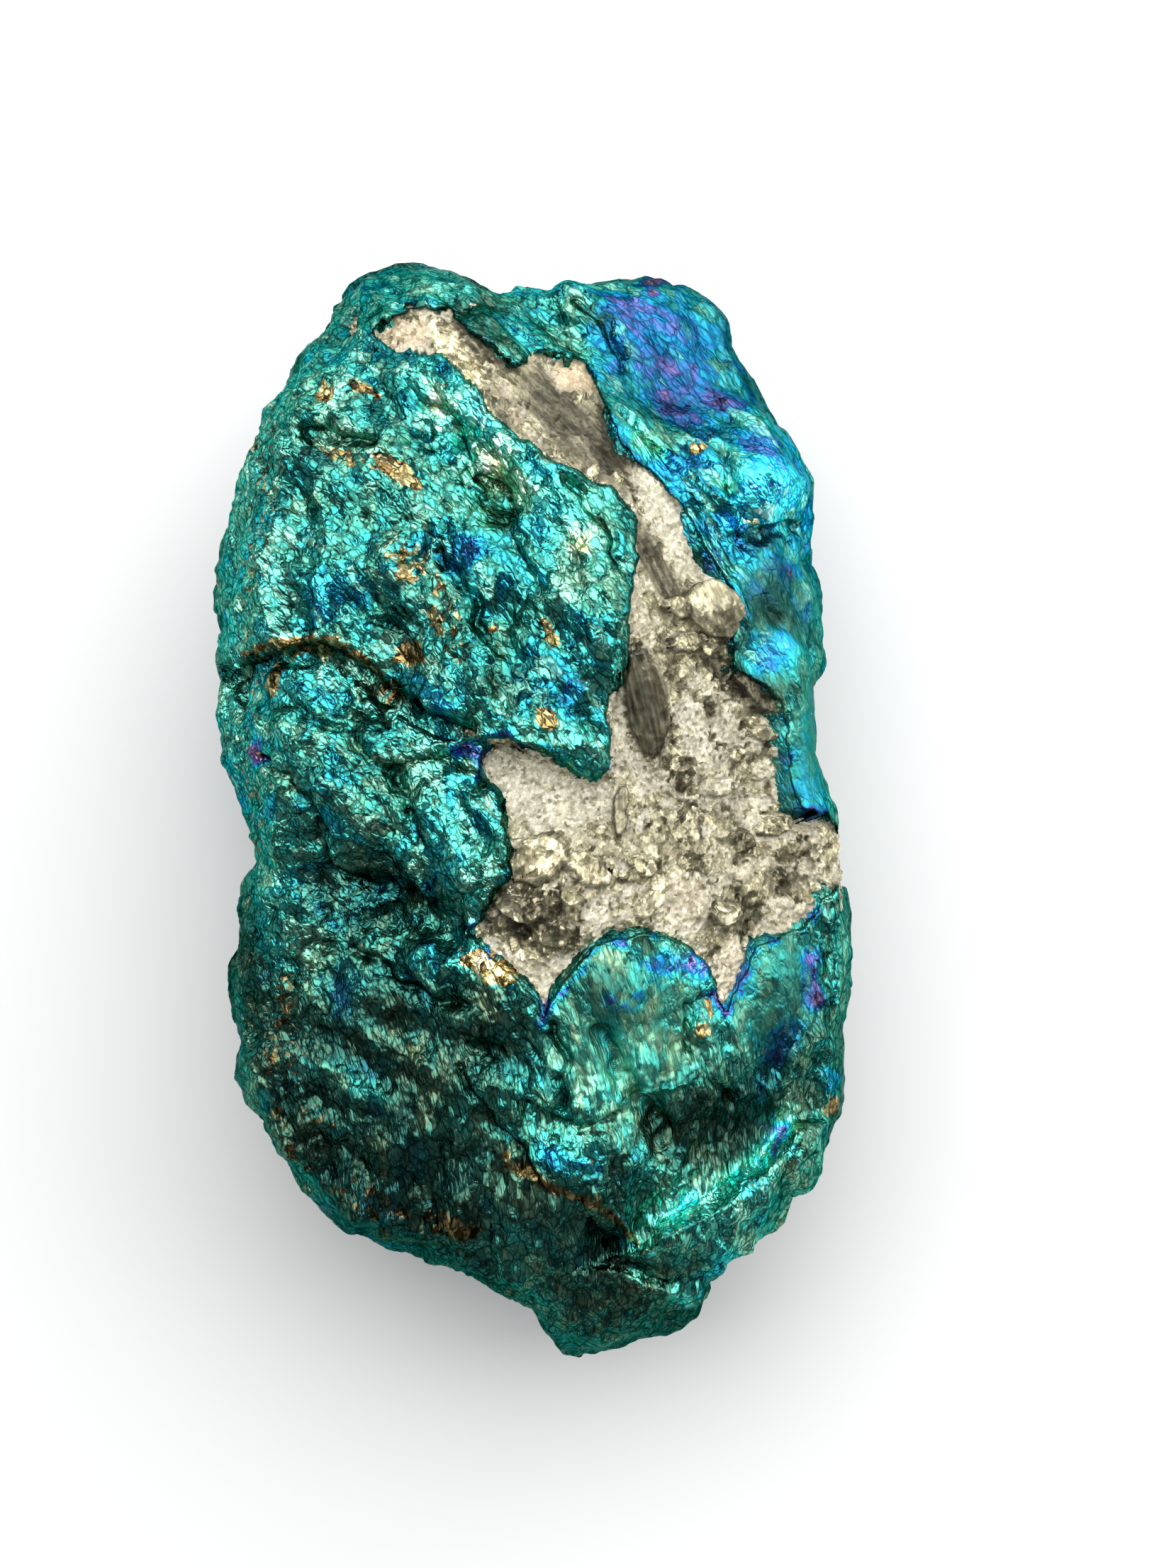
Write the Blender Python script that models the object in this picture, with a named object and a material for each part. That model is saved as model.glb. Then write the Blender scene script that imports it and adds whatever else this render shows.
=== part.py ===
"""A hand-sized lump of tarnished chalcopyrite, broken on all sides and crossed by a sunken band of pale matrix.

The lump lies on its back: +Z is the face that is shown, +Y runs along its length to the crown, and +X is to the
right. All sizes are in millimetres until the last step, which turns them into metres. The front and back are each
the lowest of several broken faces, rounded to a measured outline, with ledges, hollows and crumbs added to them.
"""

import bmesh
import bpy
import numpy as np

METRES_PER_MM = 0.001

# Driving dimensions, in millimetres.
HALF_WIDTH = 19.8
HALF_LENGTH = 34.1
RIM_HEIGHT = 13.0
FRONT_RISE = 16.0
BACK_DEPTH = 16.0
FRONT_FULLNESS = 2.7
BACK_FULLNESS = 2.1
ARRIS_SOFTNESS = 0.35
CENTRE = (-0.02, 0.12)

# How finely the lump is first cut up, and the share of its triangles that is kept.
GRID_COUNTS = (46, 78, 36)
KEPT_SHARE = 0.30

# The outline seen from the front, clockwise from the crown's left corner.
OUTLINE = (
    (-10.4, 33.4), (-8.6, 33.8), (-7.1, 34.1), (-5.9, 33.7), (-3.2, 32.9), (-2.1, 32.3), (-1.0, 32.8),
    (1.2, 32.4), (3.4, 33.1), (7.9, 33.3), (8.6, 32.7), (10.3, 32.5), (11.1, 32.0), (12.0, 30.8),
    (12.1, 29.2), (12.7, 28.2), (15.0, 24.0), (15.6, 23.7), (16.4, 22.4), (16.8, 20.7), (16.9, 15.3),
    (17.8, 9.3), (17.2, 7.7), (17.3, 3.6), (18.7, 0.4), (18.9, -1.4), (19.8, -5.4), (19.8, -7.2),
    (19.4, -10.0), (19.1, -13.7), (19.4, -16.8), (19.2, -18.7), (18.5, -20.7), (16.9, -23.2), (15.8, -23.5),
    (14.7, -25.8), (13.2, -27.1), (11.6, -27.6), (10.7, -29.2), (10.6, -30.3), (10.1, -31.4), (8.1, -32.5),
    (5.6, -33.7), (3.1, -34.1), (1.8, -34.0), (1.1, -32.8), (0.0, -30.5), (-1.5, -30.1), (-2.5, -29.5),
    (-3.3, -28.3), (-6.8, -28.1), (-8.1, -27.5), (-9.2, -27.3), (-10.6, -26.4), (-11.5, -26.2), (-12.9, -24.8),
    (-15.8, -21.3), (-16.8, -19.1), (-17.9, -17.7), (-18.5, -16.3), (-18.4, -13.5), (-18.8, -11.5), (-18.1, -7.2),
    (-18.1, -5.4), (-17.7, -3.7), (-17.0, -3.0), (-17.3, -1.6), (-18.1, 0.6), (-19.5, 3.3), (-19.3, 4.8),
    (-19.1, 11.2), (-19.8, 13.3), (-19.8, 15.1), (-18.8, 17.8), (-17.4, 22.2), (-15.7, 26.2), (-14.4, 28.4),
    (-12.5, 30.9), (-11.5, 32.5),
)

# The edge of the sunken pale band, clockwise from its left tip near the crown.
BAND = (
    (-10.1, 30.4), (-9.1, 31.0), (-8.0, 31.7), (-5.9, 31.8), (-5.1, 31.4), (-4.2, 30.7), (-2.8, 29.6),
    (-1.7, 28.2), (-0.8, 27.9), (0.5, 28.9), (2.1, 28.8), (3.8, 27.4), (4.4, 25.8), (5.4, 23.7),
    (7.4, 21.4), (8.7, 20.2), (9.8, 18.1), (10.8, 16.2), (11.7, 15.0), (12.6, 13.1), (12.6, 10.8),
    (12.9, 9.9), (13.6, 8.0), (15.5, 6.3), (15.8, 4.2), (16.3, 1.9), (16.8, 0.1), (17.7, -0.1),
    (19.0, -1.0), (21.0, -2.4), (21.0, -4.6), (19.0, -4.7), (17.9, -6.4), (16.7, -7.4), (14.8, -8.4),
    (13.9, -8.8), (13.2, -10.8), (12.0, -12.3), (11.3, -13.0), (11.1, -12.0), (11.5, -11.1), (10.7, -9.5),
    (9.2, -8.5), (7.0, -7.6), (5.2, -7.8), (3.9, -8.3), (2.9, -9.9), (1.4, -11.9), (0.4, -13.2),
    (0.0, -12.0), (-0.8, -10.3), (-2.8, -8.9), (-4.1, -7.4), (-2.9, -6.6), (-1.9, -5.0), (-1.3, -4.2),
    (-0.5, -2.4), (-1.3, -1.2), (-1.9, 0.2), (-2.2, 1.5), (-3.2, 2.7), (-3.4, 4.6), (-2.8, 4.8),
    (-1.0, 4.5), (0.7, 3.8), (2.1, 3.0), (3.2, 2.1), (4.4, 2.1), (5.1, 2.9), (4.9, 4.8),
    (5.4, 7.3), (6.0, 9.7), (6.1, 12.6), (6.2, 15.5), (5.9, 18.1), (4.9, 20.1), (3.7, 20.6),
    (2.1, 21.5), (0.7, 22.5), (-1.6, 24.1), (-3.2, 26.2), (-4.3, 27.2), (-5.1, 28.2), (-6.2, 29.2),
    (-7.7, 28.9), (-8.8, 29.2), (-9.9, 29.9),
)

# The broken faces of the front: a point, its height above the rim, and how fast the face climbs along X and Y.
FRONT_FACES = {
    "upper_left": ((-8.6, 18.0), 12.0, 0.22, -0.10),
    "crown": ((-6.9, 32.7), 7.0, 0.05, -1.30),
    "upper_right": ((1.1, 22.5), 13.7, -0.45, -0.75),
    "band_side": ((4.9, 15.3), 15.2, -0.50, 0.05),
    "middle_left": ((-12.2, 1.9), 11.3, 0.34, 0.16),
    "lower_left": ((-8.6, -18.6), 10.6, 0.28, 0.38),
    "lower_middle": ((4.3, -15.0), 13.0, -0.12, 0.10),
    "lower_right": ((14.6, -13.7), 9.5, -0.50, 0.10),
    "bottom_tip": ((3.4, -30.2), 7.5, 0.02, 0.90),
    "left_flank": ((-17.0, 10.8), 10.6, 2.20, 0.02),
    "lower_left_flank": ((-12.5, -22.9), 7.8, 0.90, 1.60),
    "foot_side": ((-15.0, -13.0), 10.4, 1.60, 0.10),
}

# The broken faces of the back, given the same way but as depth below the rim.
BACK_FACES = {
    "middle": ((0.0, 0.0), 13.8, 0.01, -0.01),
    "left": ((-8.0, 0.0), 13.0, 0.62, 0.05),
    "right": ((7.5, 0.0), 13.0, -0.46, -0.08),
    "crown": ((0.0, 11.5), 13.0, 0.06, -0.42),
    "foot": ((0.0, -12.0), 13.0, -0.10, 0.56),
    "upper_left": ((-6.5, 8.0), 13.0, 0.36, -0.40),
    "lower_right": ((6.0, -9.5), 13.0, -0.50, 0.30),
    "left_side": ((-16.0, 4.0), 7.6, 1.60, -0.10),
    "right_side": ((16.4, 2.0), 7.0, -1.70, -0.20),
    "crown_side": ((-2.0, 29.0), 4.6, 0.15, -1.20),
    "foot_side": ((-9.0, -22.0), 6.4, 0.60, 1.10),
}

# Cracks and ledges: the ground drops on the right of the line, over the ramp, and climbs back over the way back.
LEDGES = {
    "crack": (((-17.6, 8.8), (-15.5, 9.5), (-12.2, 9.8), (-9.2, 7.8), (-6.9, 5.9), (-4.1, 4.8)), 1.9, 0.4, 4.5),
    "lobe": (((-3.4, 4.4), (-2.4, 4.7), (0.3, 4.0), (2.1, 3.2), (3.6, 2.0), (4.7, 2.6), (4.8, 4.6)), 0.9, 0.4, 3.5),
    "foot_ledge": (((18.6, -19.2), (16.1, -19.8), (14.4, -22.1), (10.9, -24.2), (7.7, -25.6)), 2.0, 1.1, 4.5),
    "plate_step": (((1.4, -17.8), (2.7, -18.3), (3.8, -18.0), (5.6, -17.5)), 0.8, 0.3, 3.0),
    "right_step": (((8.8, 21.0), (12.6, 17.4), (14.1, 17.9), (17.0, 18.9)), 1.3, 0.5, 4.0),
    "left_step": (((-8.6, -5.6), (-6.6, -5.0), (-4.6, -4.5)), 0.6, 0.4, 3.0),
}

# Ridges and troughs: a line, half its width, and its rise (a trough's is negative).
RIDGES = {
    "upper_trough": (((-9.5, 26.0), (-5.1, 22.5), (-2.4, 18.4), (0.3, 14.0)), 1.3, -0.7),
    "upper_ridge": (((-12.4, 27.4), (-10.2, 26.2), (-7.3, 24.5)), 0.9, 0.5),
    "middle_ridge": (((-8.5, 15.0), (-6.9, 14.0), (-4.4, 11.3), (-3.0, 8.0)), 1.2, 0.6),
    "waist": (((-19.0, -2.8), (-14.0, -3.5), (-10.6, -3.9), (-8.0, -5.7), (-5.1, -6.6)), 1.8, -1.1),
    "foot_ridge": (((-12.2, -12.4), (-9.7, -13.8), (-6.9, -15.1)), 0.9, 0.6),
    "foot_ridge_2": (((-13.1, -15.6), (-11.8, -16.4), (-8.6, -17.3)), 0.8, 0.5),
    "centre_arris": (((-1.7, -17.6), (0.4, -21.3), (3.8, -23.3), (6.3, -25.8)), 1.0, 0.5),
    "plate_groove": (((4.3, -13.1), (5.9, -17.1), (8.0, -19.6)), 0.7, -0.6),
    "crown_saddle": (((-2.3, 34.0), (-0.5, 30.5), (2.5, 28.5)), 1.8, -1.2),
    "band_crest": (((4.6, 13.0), (8.0, 8.0), (10.0, 2.0), (11.0, -4.0)), 1.6, 0.8),
    "tip_groove": (((4.8, -27.0), (7.7, -27.6), (10.6, -28.4)), 0.9, -0.7),
}

# Hollows and bosses: centre, half-sizes along and across, turn in degrees, and rise (a fall is negative).
BOSSES = {
    "foot_hollow": ((11.4, -20.0), (4.6, 2.6), 22.0, -0.9),
    "round_pit": ((-3.0, -14.0), (1.4, 1.3), 0.0, -1.2),
    "upper_pit": ((-12.6, 22.2), (1.9, 1.0), -10.0, -1.0),
    "ridge_pit": ((-2.1, 18.8), (1.0, 1.3), 40.0, -0.9),
    "middle_pit": ((-8.5, 11.8), (1.8, 0.9), -30.0, -0.8),
    "middle_bulge": ((-12.6, 1.4), (5.0, 3.4), -40.0, 1.0),
    "crown_block": ((8.6, 31.0), (3.4, 2.2), 0.0, 1.0),
    "right_block": ((13.6, 20.8), (2.8, 2.4), 30.0, 1.0),
    "pocket": ((0.8, 1.2), (3.6, 2.2), -15.0, -0.9),
    "gold_knob": ((1.8, -5.2), (2.0, 1.8), 0.0, 0.9),
    "mint_plate": ((5.0, -11.0), (3.0, 2.2), 10.0, 0.7),
    "pale_lump": ((11.0, 12.6), (1.7, 1.4), 0.0, 0.9),
    "dark_lens": ((7.2, 7.2), (0.9, 2.6), 0.0, 0.7),
}

# Sizes of the lumps and chips that the surface breaks into, each with how far it stands out.
LUMPS = (6.5, 1.2)
CHIPS = ((3.2, 0.9), (1.8, 0.5))
BAND_CHIPS = (2.2, 1.0)
BAND_DEPTH = 1.1
GRAIN_CENTRE = (-60.0, -30.0)
GRAIN_STRETCH = 1.8
BAND_LIP = 0.35
FLOOR_BLOCK = 120.0
SEED = 7


def clear_scene():
    for obj in list(bpy.data.objects):
        bpy.data.objects.remove(obj, do_unlink=True)


def smooth_step(low, high, value):
    """0 below low, 1 above high, and the curve 3t^2 - 2t^3 between them."""
    t = np.clip((value - low) / (high - low), 0.0, 1.0)
    return t * t * (3.0 - 2.0 * t)


def hashed(cells, seed):
    """Three numbers from 0 to 1 for each whole-number cell, always the same for the same cell and seed."""
    mixed = cells.astype(np.int64) @ np.array((73856093, 19349663, 83492791), np.int64) + seed * 2654435761
    numbers = []
    for turn in range(3):
        mixed = (mixed ^ (mixed >> 15)) * (2246822519 + 2 * turn) & 0xFFFFFFFF
        mixed = (mixed ^ (mixed >> 13)) * 3266489917 & 0xFFFFFFFF
        mixed ^= mixed >> 16
        numbers.append(mixed / 0xFFFFFFFF)
    return np.stack(numbers, -1)


def noise(points, size, seed):
    """Gradient noise from about -1 to 1: the eight corners of each cell of this size pull along random directions."""
    scaled = points / size
    cell = np.floor(scaled)
    offset = scaled - cell
    fade = offset**3 * (offset * (offset * 6.0 - 15.0) + 10.0)
    total = np.zeros(len(points))
    for corner in np.ndindex(2, 2, 2):
        pull = hashed(cell + corner, seed) * 2.0 - 1.0
        weight = np.prod(np.where(corner, fade, 1.0 - fade), axis=1)
        total += weight * np.einsum("ij,ij->i", pull, offset - corner)
    return total * 1.6


def nearest_chip(points, size, seed, flat_sided):
    """How far each point is from the nearest random seed point, as a share of size, less its mean.

    Flat-sided distances are the largest of three slanted coordinates, so that the creases enclose flat facets.
    Otherwise it is the square of the plain distance, so that they enclose rounded lumps.
    """
    scaled = points / size
    cell = np.floor(scaled)
    nearest = np.full(len(points), np.inf)
    for step in np.ndindex(3, 3, 3):
        neighbour = cell + step - 1.0
        away = scaled - neighbour - hashed(neighbour, seed)
        if flat_sided:
            slants = [axis + hashed(neighbour, seed + turn + 1) - 0.5 for turn, axis in enumerate(np.eye(3))]
            distance = np.max([np.abs(np.einsum("ij,ij->i", slant, away)) for slant in slants], axis=0)
        else:
            distance = np.einsum("ij,ij->i", away, away)
        nearest = np.minimum(nearest, distance)
    return nearest - nearest.mean()


def distance_to_line(points, line, closed=False):
    """Distance from each (x, y) to the nearest stretch of a line, and which side it is on: 1 left of it, -1 right."""
    corners = np.array(line, float)
    starts = corners if closed else corners[:-1]
    ends = np.roll(corners, -1, axis=0) if closed else corners[1:]
    nearest = np.full(len(points), np.inf)
    side = np.ones(len(points))
    for start, end in zip(starts, ends):
        along = end - start
        share = np.clip((points - start) @ along / (along @ along), 0.0, 1.0)
        away = points - start - share[:, None] * along
        distance = np.hypot(away[:, 0], away[:, 1])
        turn = along[0] * (points[:, 1] - start[1]) - along[1] * (points[:, 0] - start[0])
        closer = distance < nearest
        nearest = np.where(closer, distance, nearest)
        side = np.where(closer, np.sign(turn), side)
    return nearest, side


def inside_outline(points, outline):
    """True where a ray to the right of the point crosses the closed outline an odd number of times."""
    x, y = points.T
    inside = np.zeros(len(points), bool)
    corners = np.array(outline, float)
    for (x0, y0), (x1, y1) in zip(corners, np.roll(corners, -1, axis=0)):
        if y0 != y1:
            crossing = x0 + (y - y0) * (x1 - x0) / (y1 - y0)
            inside ^= ((y0 > y) != (y1 > y)) & (x < crossing)
    return inside


def outline_radius(angle):
    """Distance from the middle to the outline at each angle, straight between the outline's points."""
    corners = np.array(OUTLINE, float)
    at = np.arctan2(corners[:, 1], corners[:, 0])
    order = np.argsort(at)
    return np.interp(angle, at[order], np.hypot(*corners[order].T), period=2.0 * np.pi)


def lowest_of(planes, softness):
    """The lowest plane at each point, with the edges between planes rounded over about this softness."""
    stacked = np.array(planes)
    lowest = stacked.min(axis=0)
    return lowest - softness * np.log(np.exp((lowest - stacked) / softness).sum(axis=0))


def faces_at(points, faces):
    """The height of each broken face's plane: its own height plus its two slopes times the way from its point."""
    x, y = points.T
    return [height + along_x * (x - at[0]) + along_y * (y - at[1]) for at, height, along_x, along_y in faces.values()]


def ledges_at(points):
    """Each ledge drops the ground on the right of its line, and lets it climb back over the given way."""
    total = np.zeros(len(points))
    for line, drop, ramp, way_back in LEDGES.values():
        distance, side = distance_to_line(points, line)
        fall = drop * np.exp(-((distance / way_back) ** 2)) * smooth_step(0.0, ramp, distance)
        total -= np.where(side < 0.0, fall, 0.0)
    return total


def ridges_at(points):
    """Each ridge is a bell, exp(-(distance / half width)^2), across its line."""
    total = np.zeros(len(points))
    for line, half_width, rise in RIDGES.values():
        distance, _ = distance_to_line(points, line)
        total += rise * np.exp(-((distance / half_width) ** 2))
    return total


def bosses_at(points):
    """Each boss is a bell, exp(-r^2), stretched and turned in the plane of the front."""
    total = np.zeros(len(points))
    for centre, half_sizes, turn, rise in BOSSES.values():
        cos, sin = np.cos(np.radians(turn)), np.sin(np.radians(turn))
        away = points - centre
        along = (away[:, 0] * cos + away[:, 1] * sin) / half_sizes[0]
        across = (away[:, 1] * cos - away[:, 0] * sin) / half_sizes[1]
        total += rise * np.exp(-(along**2) - across**2)
    return total


def lump_points(directions):
    """Each unit direction from the middle becomes a point of the lump.

    Seen from the front, the point lies at the direction's angle, and at the outline's radius times the direction's
    reach from the Z axis. The outline is used as measured near the rim, and smoothed away from it. The point's height
    is the lowest broken face there, rounded off towards the rim.
    """
    reach = np.minimum(np.hypot(directions[:, 0], directions[:, 1]), 1.0)
    angle = np.arctan2(directions[:, 1] * HALF_LENGTH, directions[:, 0] * HALF_WIDTH)
    smoothed = np.mean([outline_radius(angle + turn) for turn in np.radians((-15, -10, -5, 0, 5, 10, 15))], axis=0)
    near_rim = np.exp(-((directions[:, 2] / 0.3) ** 2))
    radius = reach * (smoothed + near_rim * (outline_radius(angle) - smoothed))
    flat = np.stack((radius * np.cos(angle), radius * np.sin(angle)), -1)
    front_dome = FRONT_RISE * (1.0 - reach**FRONT_FULLNESS) ** (1.0 / FRONT_FULLNESS)
    back_dome = BACK_DEPTH * (1.0 - reach**BACK_FULLNESS) ** (1.0 / BACK_FULLNESS)
    front = lowest_of([front_dome, *faces_at(flat, FRONT_FACES)], ARRIS_SOFTNESS)
    back = lowest_of([back_dome, *faces_at(flat, BACK_FACES)], ARRIS_SOFTNESS)
    facing = smooth_step(0.0, 0.35, directions[:, 2])
    front += facing * (ledges_at(flat) + ridges_at(flat) + bosses_at(flat))
    return np.column_stack((flat, RIM_HEIGHT + np.where(directions[:, 2] >= 0.0, front, -back)))


def along_grain(points):
    """The points in coordinates that run across, along and through the grain, which bends round a far centre."""
    away = points[:, :2] - GRAIN_CENTRE
    radius = np.hypot(away[:, 0], away[:, 1])
    along = np.arctan2(away[:, 1], away[:, 0]) * np.hypot(*GRAIN_CENTRE)
    return np.column_stack((radius, along / GRAIN_STRETCH, points[:, 2]))


def crumble(points, normals, directions):
    """Pushes each point along its normal by lumps, which are lower at the rim, and by chips, and sinks the band."""
    edge, _ = distance_to_line(points[:, :2], BAND, closed=True)
    in_band = inside_outline(points[:, :2], BAND) & (directions[:, 2] > 0.0)
    grain = along_grain(points)
    size, rise = LUMPS
    push = -rise * nearest_chip(points, size, SEED, flat_sided=False)
    push *= 1.0 - 0.6 * np.exp(-((directions[:, 2] / 0.15) ** 2))
    for turn, (size, rise) in enumerate(CHIPS):
        push += rise * nearest_chip(grain, size, SEED + 10 * turn, flat_sided=True)
    push += 0.3 * noise(points, 9.0, SEED + 50)
    size, rise = BAND_CHIPS
    sunk = rise * nearest_chip(points, size, SEED + 60, flat_sided=True) - BAND_DEPTH
    push += np.where(in_band, smooth_step(0.0, BAND_LIP, edge) * sunk, 0.0)
    return points + normals * push[:, None]


def gridded_cube(counts):
    """A cube from -1 to 1 whose edges along X, Y and Z are cut into these many lengths."""
    mesh = bmesh.new()
    bmesh.ops.create_cube(mesh, size=2.0)
    for axis, count in enumerate(counts):
        along = [e for e in mesh.edges if abs(e.verts[0].co[axis] - e.verts[1].co[axis]) > 1.0]
        bmesh.ops.subdivide_edges(mesh, edges=along, cuts=count - 1, use_grid_fill=True)
    return mesh


def sphere_directions(corners):
    """A cube's points spread over the unit sphere: x sqrt(1 - y^2/2 - z^2/2 + y^2 z^2/3), and so on for y and z."""
    x2, y2, z2 = (corners**2).T
    stretch = (
        1.0 - y2 / 2.0 - z2 / 2.0 + y2 * z2 / 3.0,
        1.0 - z2 / 2.0 - x2 / 2.0 + z2 * x2 / 3.0,
        1.0 - x2 / 2.0 - y2 / 2.0 + x2 * y2 / 3.0,
    )
    return corners * np.sqrt(np.stack(stretch, -1))


def stone_material():
    material = bpy.data.materials.new("tarnished_chalcopyrite")
    material.use_nodes = True
    shader = material.node_tree.nodes["Principled BSDF"]
    shader.inputs["Base Color"].default_value = (0.02, 0.30, 0.29, 1.0)
    shader.inputs["Metallic"].default_value = 0.9
    shader.inputs["Roughness"].default_value = 0.35
    return material


def make_lump(collection):
    """The lump: a gridded cube spread over a sphere, moved onto the broken faces, crumbled, and thinned."""
    grid = gridded_cube(GRID_COUNTS)
    mesh = bpy.data.meshes.new("chalcopyrite")
    grid.to_mesh(mesh)
    grid.free()
    corners = np.empty(len(mesh.vertices) * 3)
    mesh.vertices.foreach_get("co", corners)
    directions = sphere_directions(corners.reshape(-1, 3))
    points = lump_points(directions)
    mesh.vertices.foreach_set("co", points.ravel())
    mesh.update()
    normals = np.empty(len(mesh.vertices) * 3)
    mesh.vertex_normals.foreach_get("vector", normals)
    points = crumble(points, normals.reshape(-1, 3), directions) - (*CENTRE, 0.0)
    mesh.vertices.foreach_set("co", (points * METRES_PER_MM).ravel())
    mesh.update()
    mesh.materials.append(stone_material())
    lump = bpy.data.objects.new("chalcopyrite", mesh)
    collection.objects.link(lump)
    thinning = lump.modifiers.new("Thin", "DECIMATE")
    thinning.ratio = KEPT_SHARE
    thinning.use_collapse_triangulate = True
    resting = lump.modifiers.new("Resting spot", "BOOLEAN")
    resting.operation = "DIFFERENCE"
    resting.object = floor_block(collection)
    return lump


def floor_block(collection):
    """A block below the floor, which cuts the lump's lowest part off flat."""
    cube = bmesh.new()
    bmesh.ops.create_cube(cube, size=FLOOR_BLOCK * METRES_PER_MM)
    bmesh.ops.translate(cube, verts=cube.verts, vec=(0.0, 0.0, -FLOOR_BLOCK / 2.0 * METRES_PER_MM))
    mesh = bpy.data.meshes.new("floor_block")
    cube.to_mesh(mesh)
    cube.free()
    block = bpy.data.objects.new("floor_block", mesh)
    block.hide_render = True
    collection.objects.link(block)
    return block


def main():
    clear_scene()
    collection = bpy.data.collections.new("chalcopyrite")
    bpy.context.scene.collection.children.link(collection)
    make_lump(collection)


main()
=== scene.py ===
"""The looks of a hand-sized lump of tarnished chalcopyrite, lying on its back on a pale floor and seen from above.

Shapes are worked out in millimetres and turned into metres when a mesh is made. The skin is the lump's own surface,
broken up more finely than the solid, and the band is a second skin that fills the solid's sunken part.
"""

import bpy
import numpy as np
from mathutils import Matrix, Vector


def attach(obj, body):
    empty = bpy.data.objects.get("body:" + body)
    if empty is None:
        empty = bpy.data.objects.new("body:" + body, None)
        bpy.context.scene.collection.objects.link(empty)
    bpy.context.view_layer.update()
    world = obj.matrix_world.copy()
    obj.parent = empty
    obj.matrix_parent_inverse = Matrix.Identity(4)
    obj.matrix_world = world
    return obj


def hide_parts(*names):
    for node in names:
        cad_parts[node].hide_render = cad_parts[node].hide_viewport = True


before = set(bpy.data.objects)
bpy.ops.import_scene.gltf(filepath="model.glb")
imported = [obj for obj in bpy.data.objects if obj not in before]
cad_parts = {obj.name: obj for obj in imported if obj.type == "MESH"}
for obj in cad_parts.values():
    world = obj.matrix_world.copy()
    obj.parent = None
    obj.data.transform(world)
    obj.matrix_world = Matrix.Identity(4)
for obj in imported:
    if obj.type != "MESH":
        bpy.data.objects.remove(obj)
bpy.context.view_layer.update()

METRES_PER_MM = 0.001

# Driving dimensions, in millimetres, as in the solid.
HALF_WIDTH = 19.8
HALF_LENGTH = 34.1
RIM_HEIGHT = 13.0
FRONT_RISE = 16.0
BACK_DEPTH = 16.0
FRONT_FULLNESS = 2.7
BACK_FULLNESS = 2.1
ARRIS_SOFTNESS = 0.35
CENTRE = (-0.02, 0.12)

# The camera's height above the floor, and the middle and length of its frame in the rim's plane, in millimetres.
CAMERA_HEIGHT = 243.0
FRAME_MIDDLE = (3.39, 1.65)
FRAME_LENGTH = 98.7

# The softboxes: place, width and length in metres, and power in watts. All of them face the lump's middle.
LIGHTS = {
    "key": ((-0.02, 0.165, 0.39), (0.80, 0.42), 3.2),
    "back": ((0.17, 0.42, 0.15), (0.50, 0.25), 0.9),
    "fill": ((0.38, 0.06, 0.22), (0.30, 0.30), 0.6),
}
LIGHT_TARGET = (0.0, 0.0, 0.015)
SKY_COLOUR = (0.95, 0.98, 1.0, 1.0)
SKY_STRENGTH = 0.18
FLOOR_COLOUR = (0.87, 0.87, 0.87, 1.0)
FLOOR_CORNERS = ((-1, -1), (1, -1), (1, 1), (-1, 1))
FLOOR_HALF = 3.0

# How finely each skin is cut up along the lump's width, length and height.
BACK_COUNTS = (64, 110, 48)
FRONT_COUNTS = (232, 392, 112)
BAND_COUNTS = (300, 510, 200)

# How far round each skin goes, as the height of the unit direction. The front skins reach a little past the lump's
# widest part, where the back skin takes over: it sinks under them, and further under the band.
WHOLE_REACH = -2.0
FRONT_REACH = -0.22
BACK_SINK = 0.35
BACK_SINK_AT_BAND = 3.0

# The points inside the lump that close the open pieces.
UPPER_APEX = (0.0, 8.0, 12.0)
LOWER_APEX = (0.0, -8.0, 12.0)
BAND_APEX = (6.0, 2.0, 12.0)
GRAINS_APEX = (6.0, 2.0, 12.5)

# The outline seen from the front, clockwise from the crown's left corner.
OUTLINE = (
    (-10.4, 33.4), (-8.6, 33.8), (-7.1, 34.1), (-5.9, 33.7), (-3.2, 32.9), (-2.1, 32.3), (-1.0, 32.8),
    (1.2, 32.4), (3.4, 33.1), (7.9, 33.3), (8.6, 32.7), (10.3, 32.5), (11.1, 32.0), (12.0, 30.8),
    (12.1, 29.2), (12.7, 28.2), (15.0, 24.0), (15.6, 23.7), (16.4, 22.4), (16.8, 20.7), (16.9, 15.3),
    (17.8, 9.3), (17.2, 7.7), (17.3, 3.6), (18.7, 0.4), (18.9, -1.4), (19.8, -5.4), (19.8, -7.2),
    (19.4, -10.0), (19.1, -13.7), (19.4, -16.8), (19.2, -18.7), (18.5, -20.7), (16.9, -23.2), (15.8, -23.5),
    (14.7, -25.8), (13.2, -27.1), (11.6, -27.6), (10.7, -29.2), (10.6, -30.3), (10.1, -31.4), (8.1, -32.5),
    (5.6, -33.7), (3.1, -34.1), (1.8, -34.0), (1.1, -32.8), (0.0, -30.5), (-1.5, -30.1), (-2.5, -29.5),
    (-3.3, -28.3), (-6.8, -28.1), (-8.1, -27.5), (-9.2, -27.3), (-10.6, -26.4), (-11.5, -26.2), (-12.9, -24.8),
    (-15.8, -21.3), (-16.8, -19.1), (-17.9, -17.7), (-18.5, -16.3), (-18.4, -13.5), (-18.8, -11.5), (-18.1, -7.2),
    (-18.1, -5.4), (-17.7, -3.7), (-17.0, -3.0), (-17.3, -1.6), (-18.1, 0.6), (-19.5, 3.3), (-19.3, 4.8),
    (-19.1, 11.2), (-19.8, 13.3), (-19.8, 15.1), (-18.8, 17.8), (-17.4, 22.2), (-15.7, 26.2), (-14.4, 28.4),
    (-12.5, 30.9), (-11.5, 32.5),
)

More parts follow.
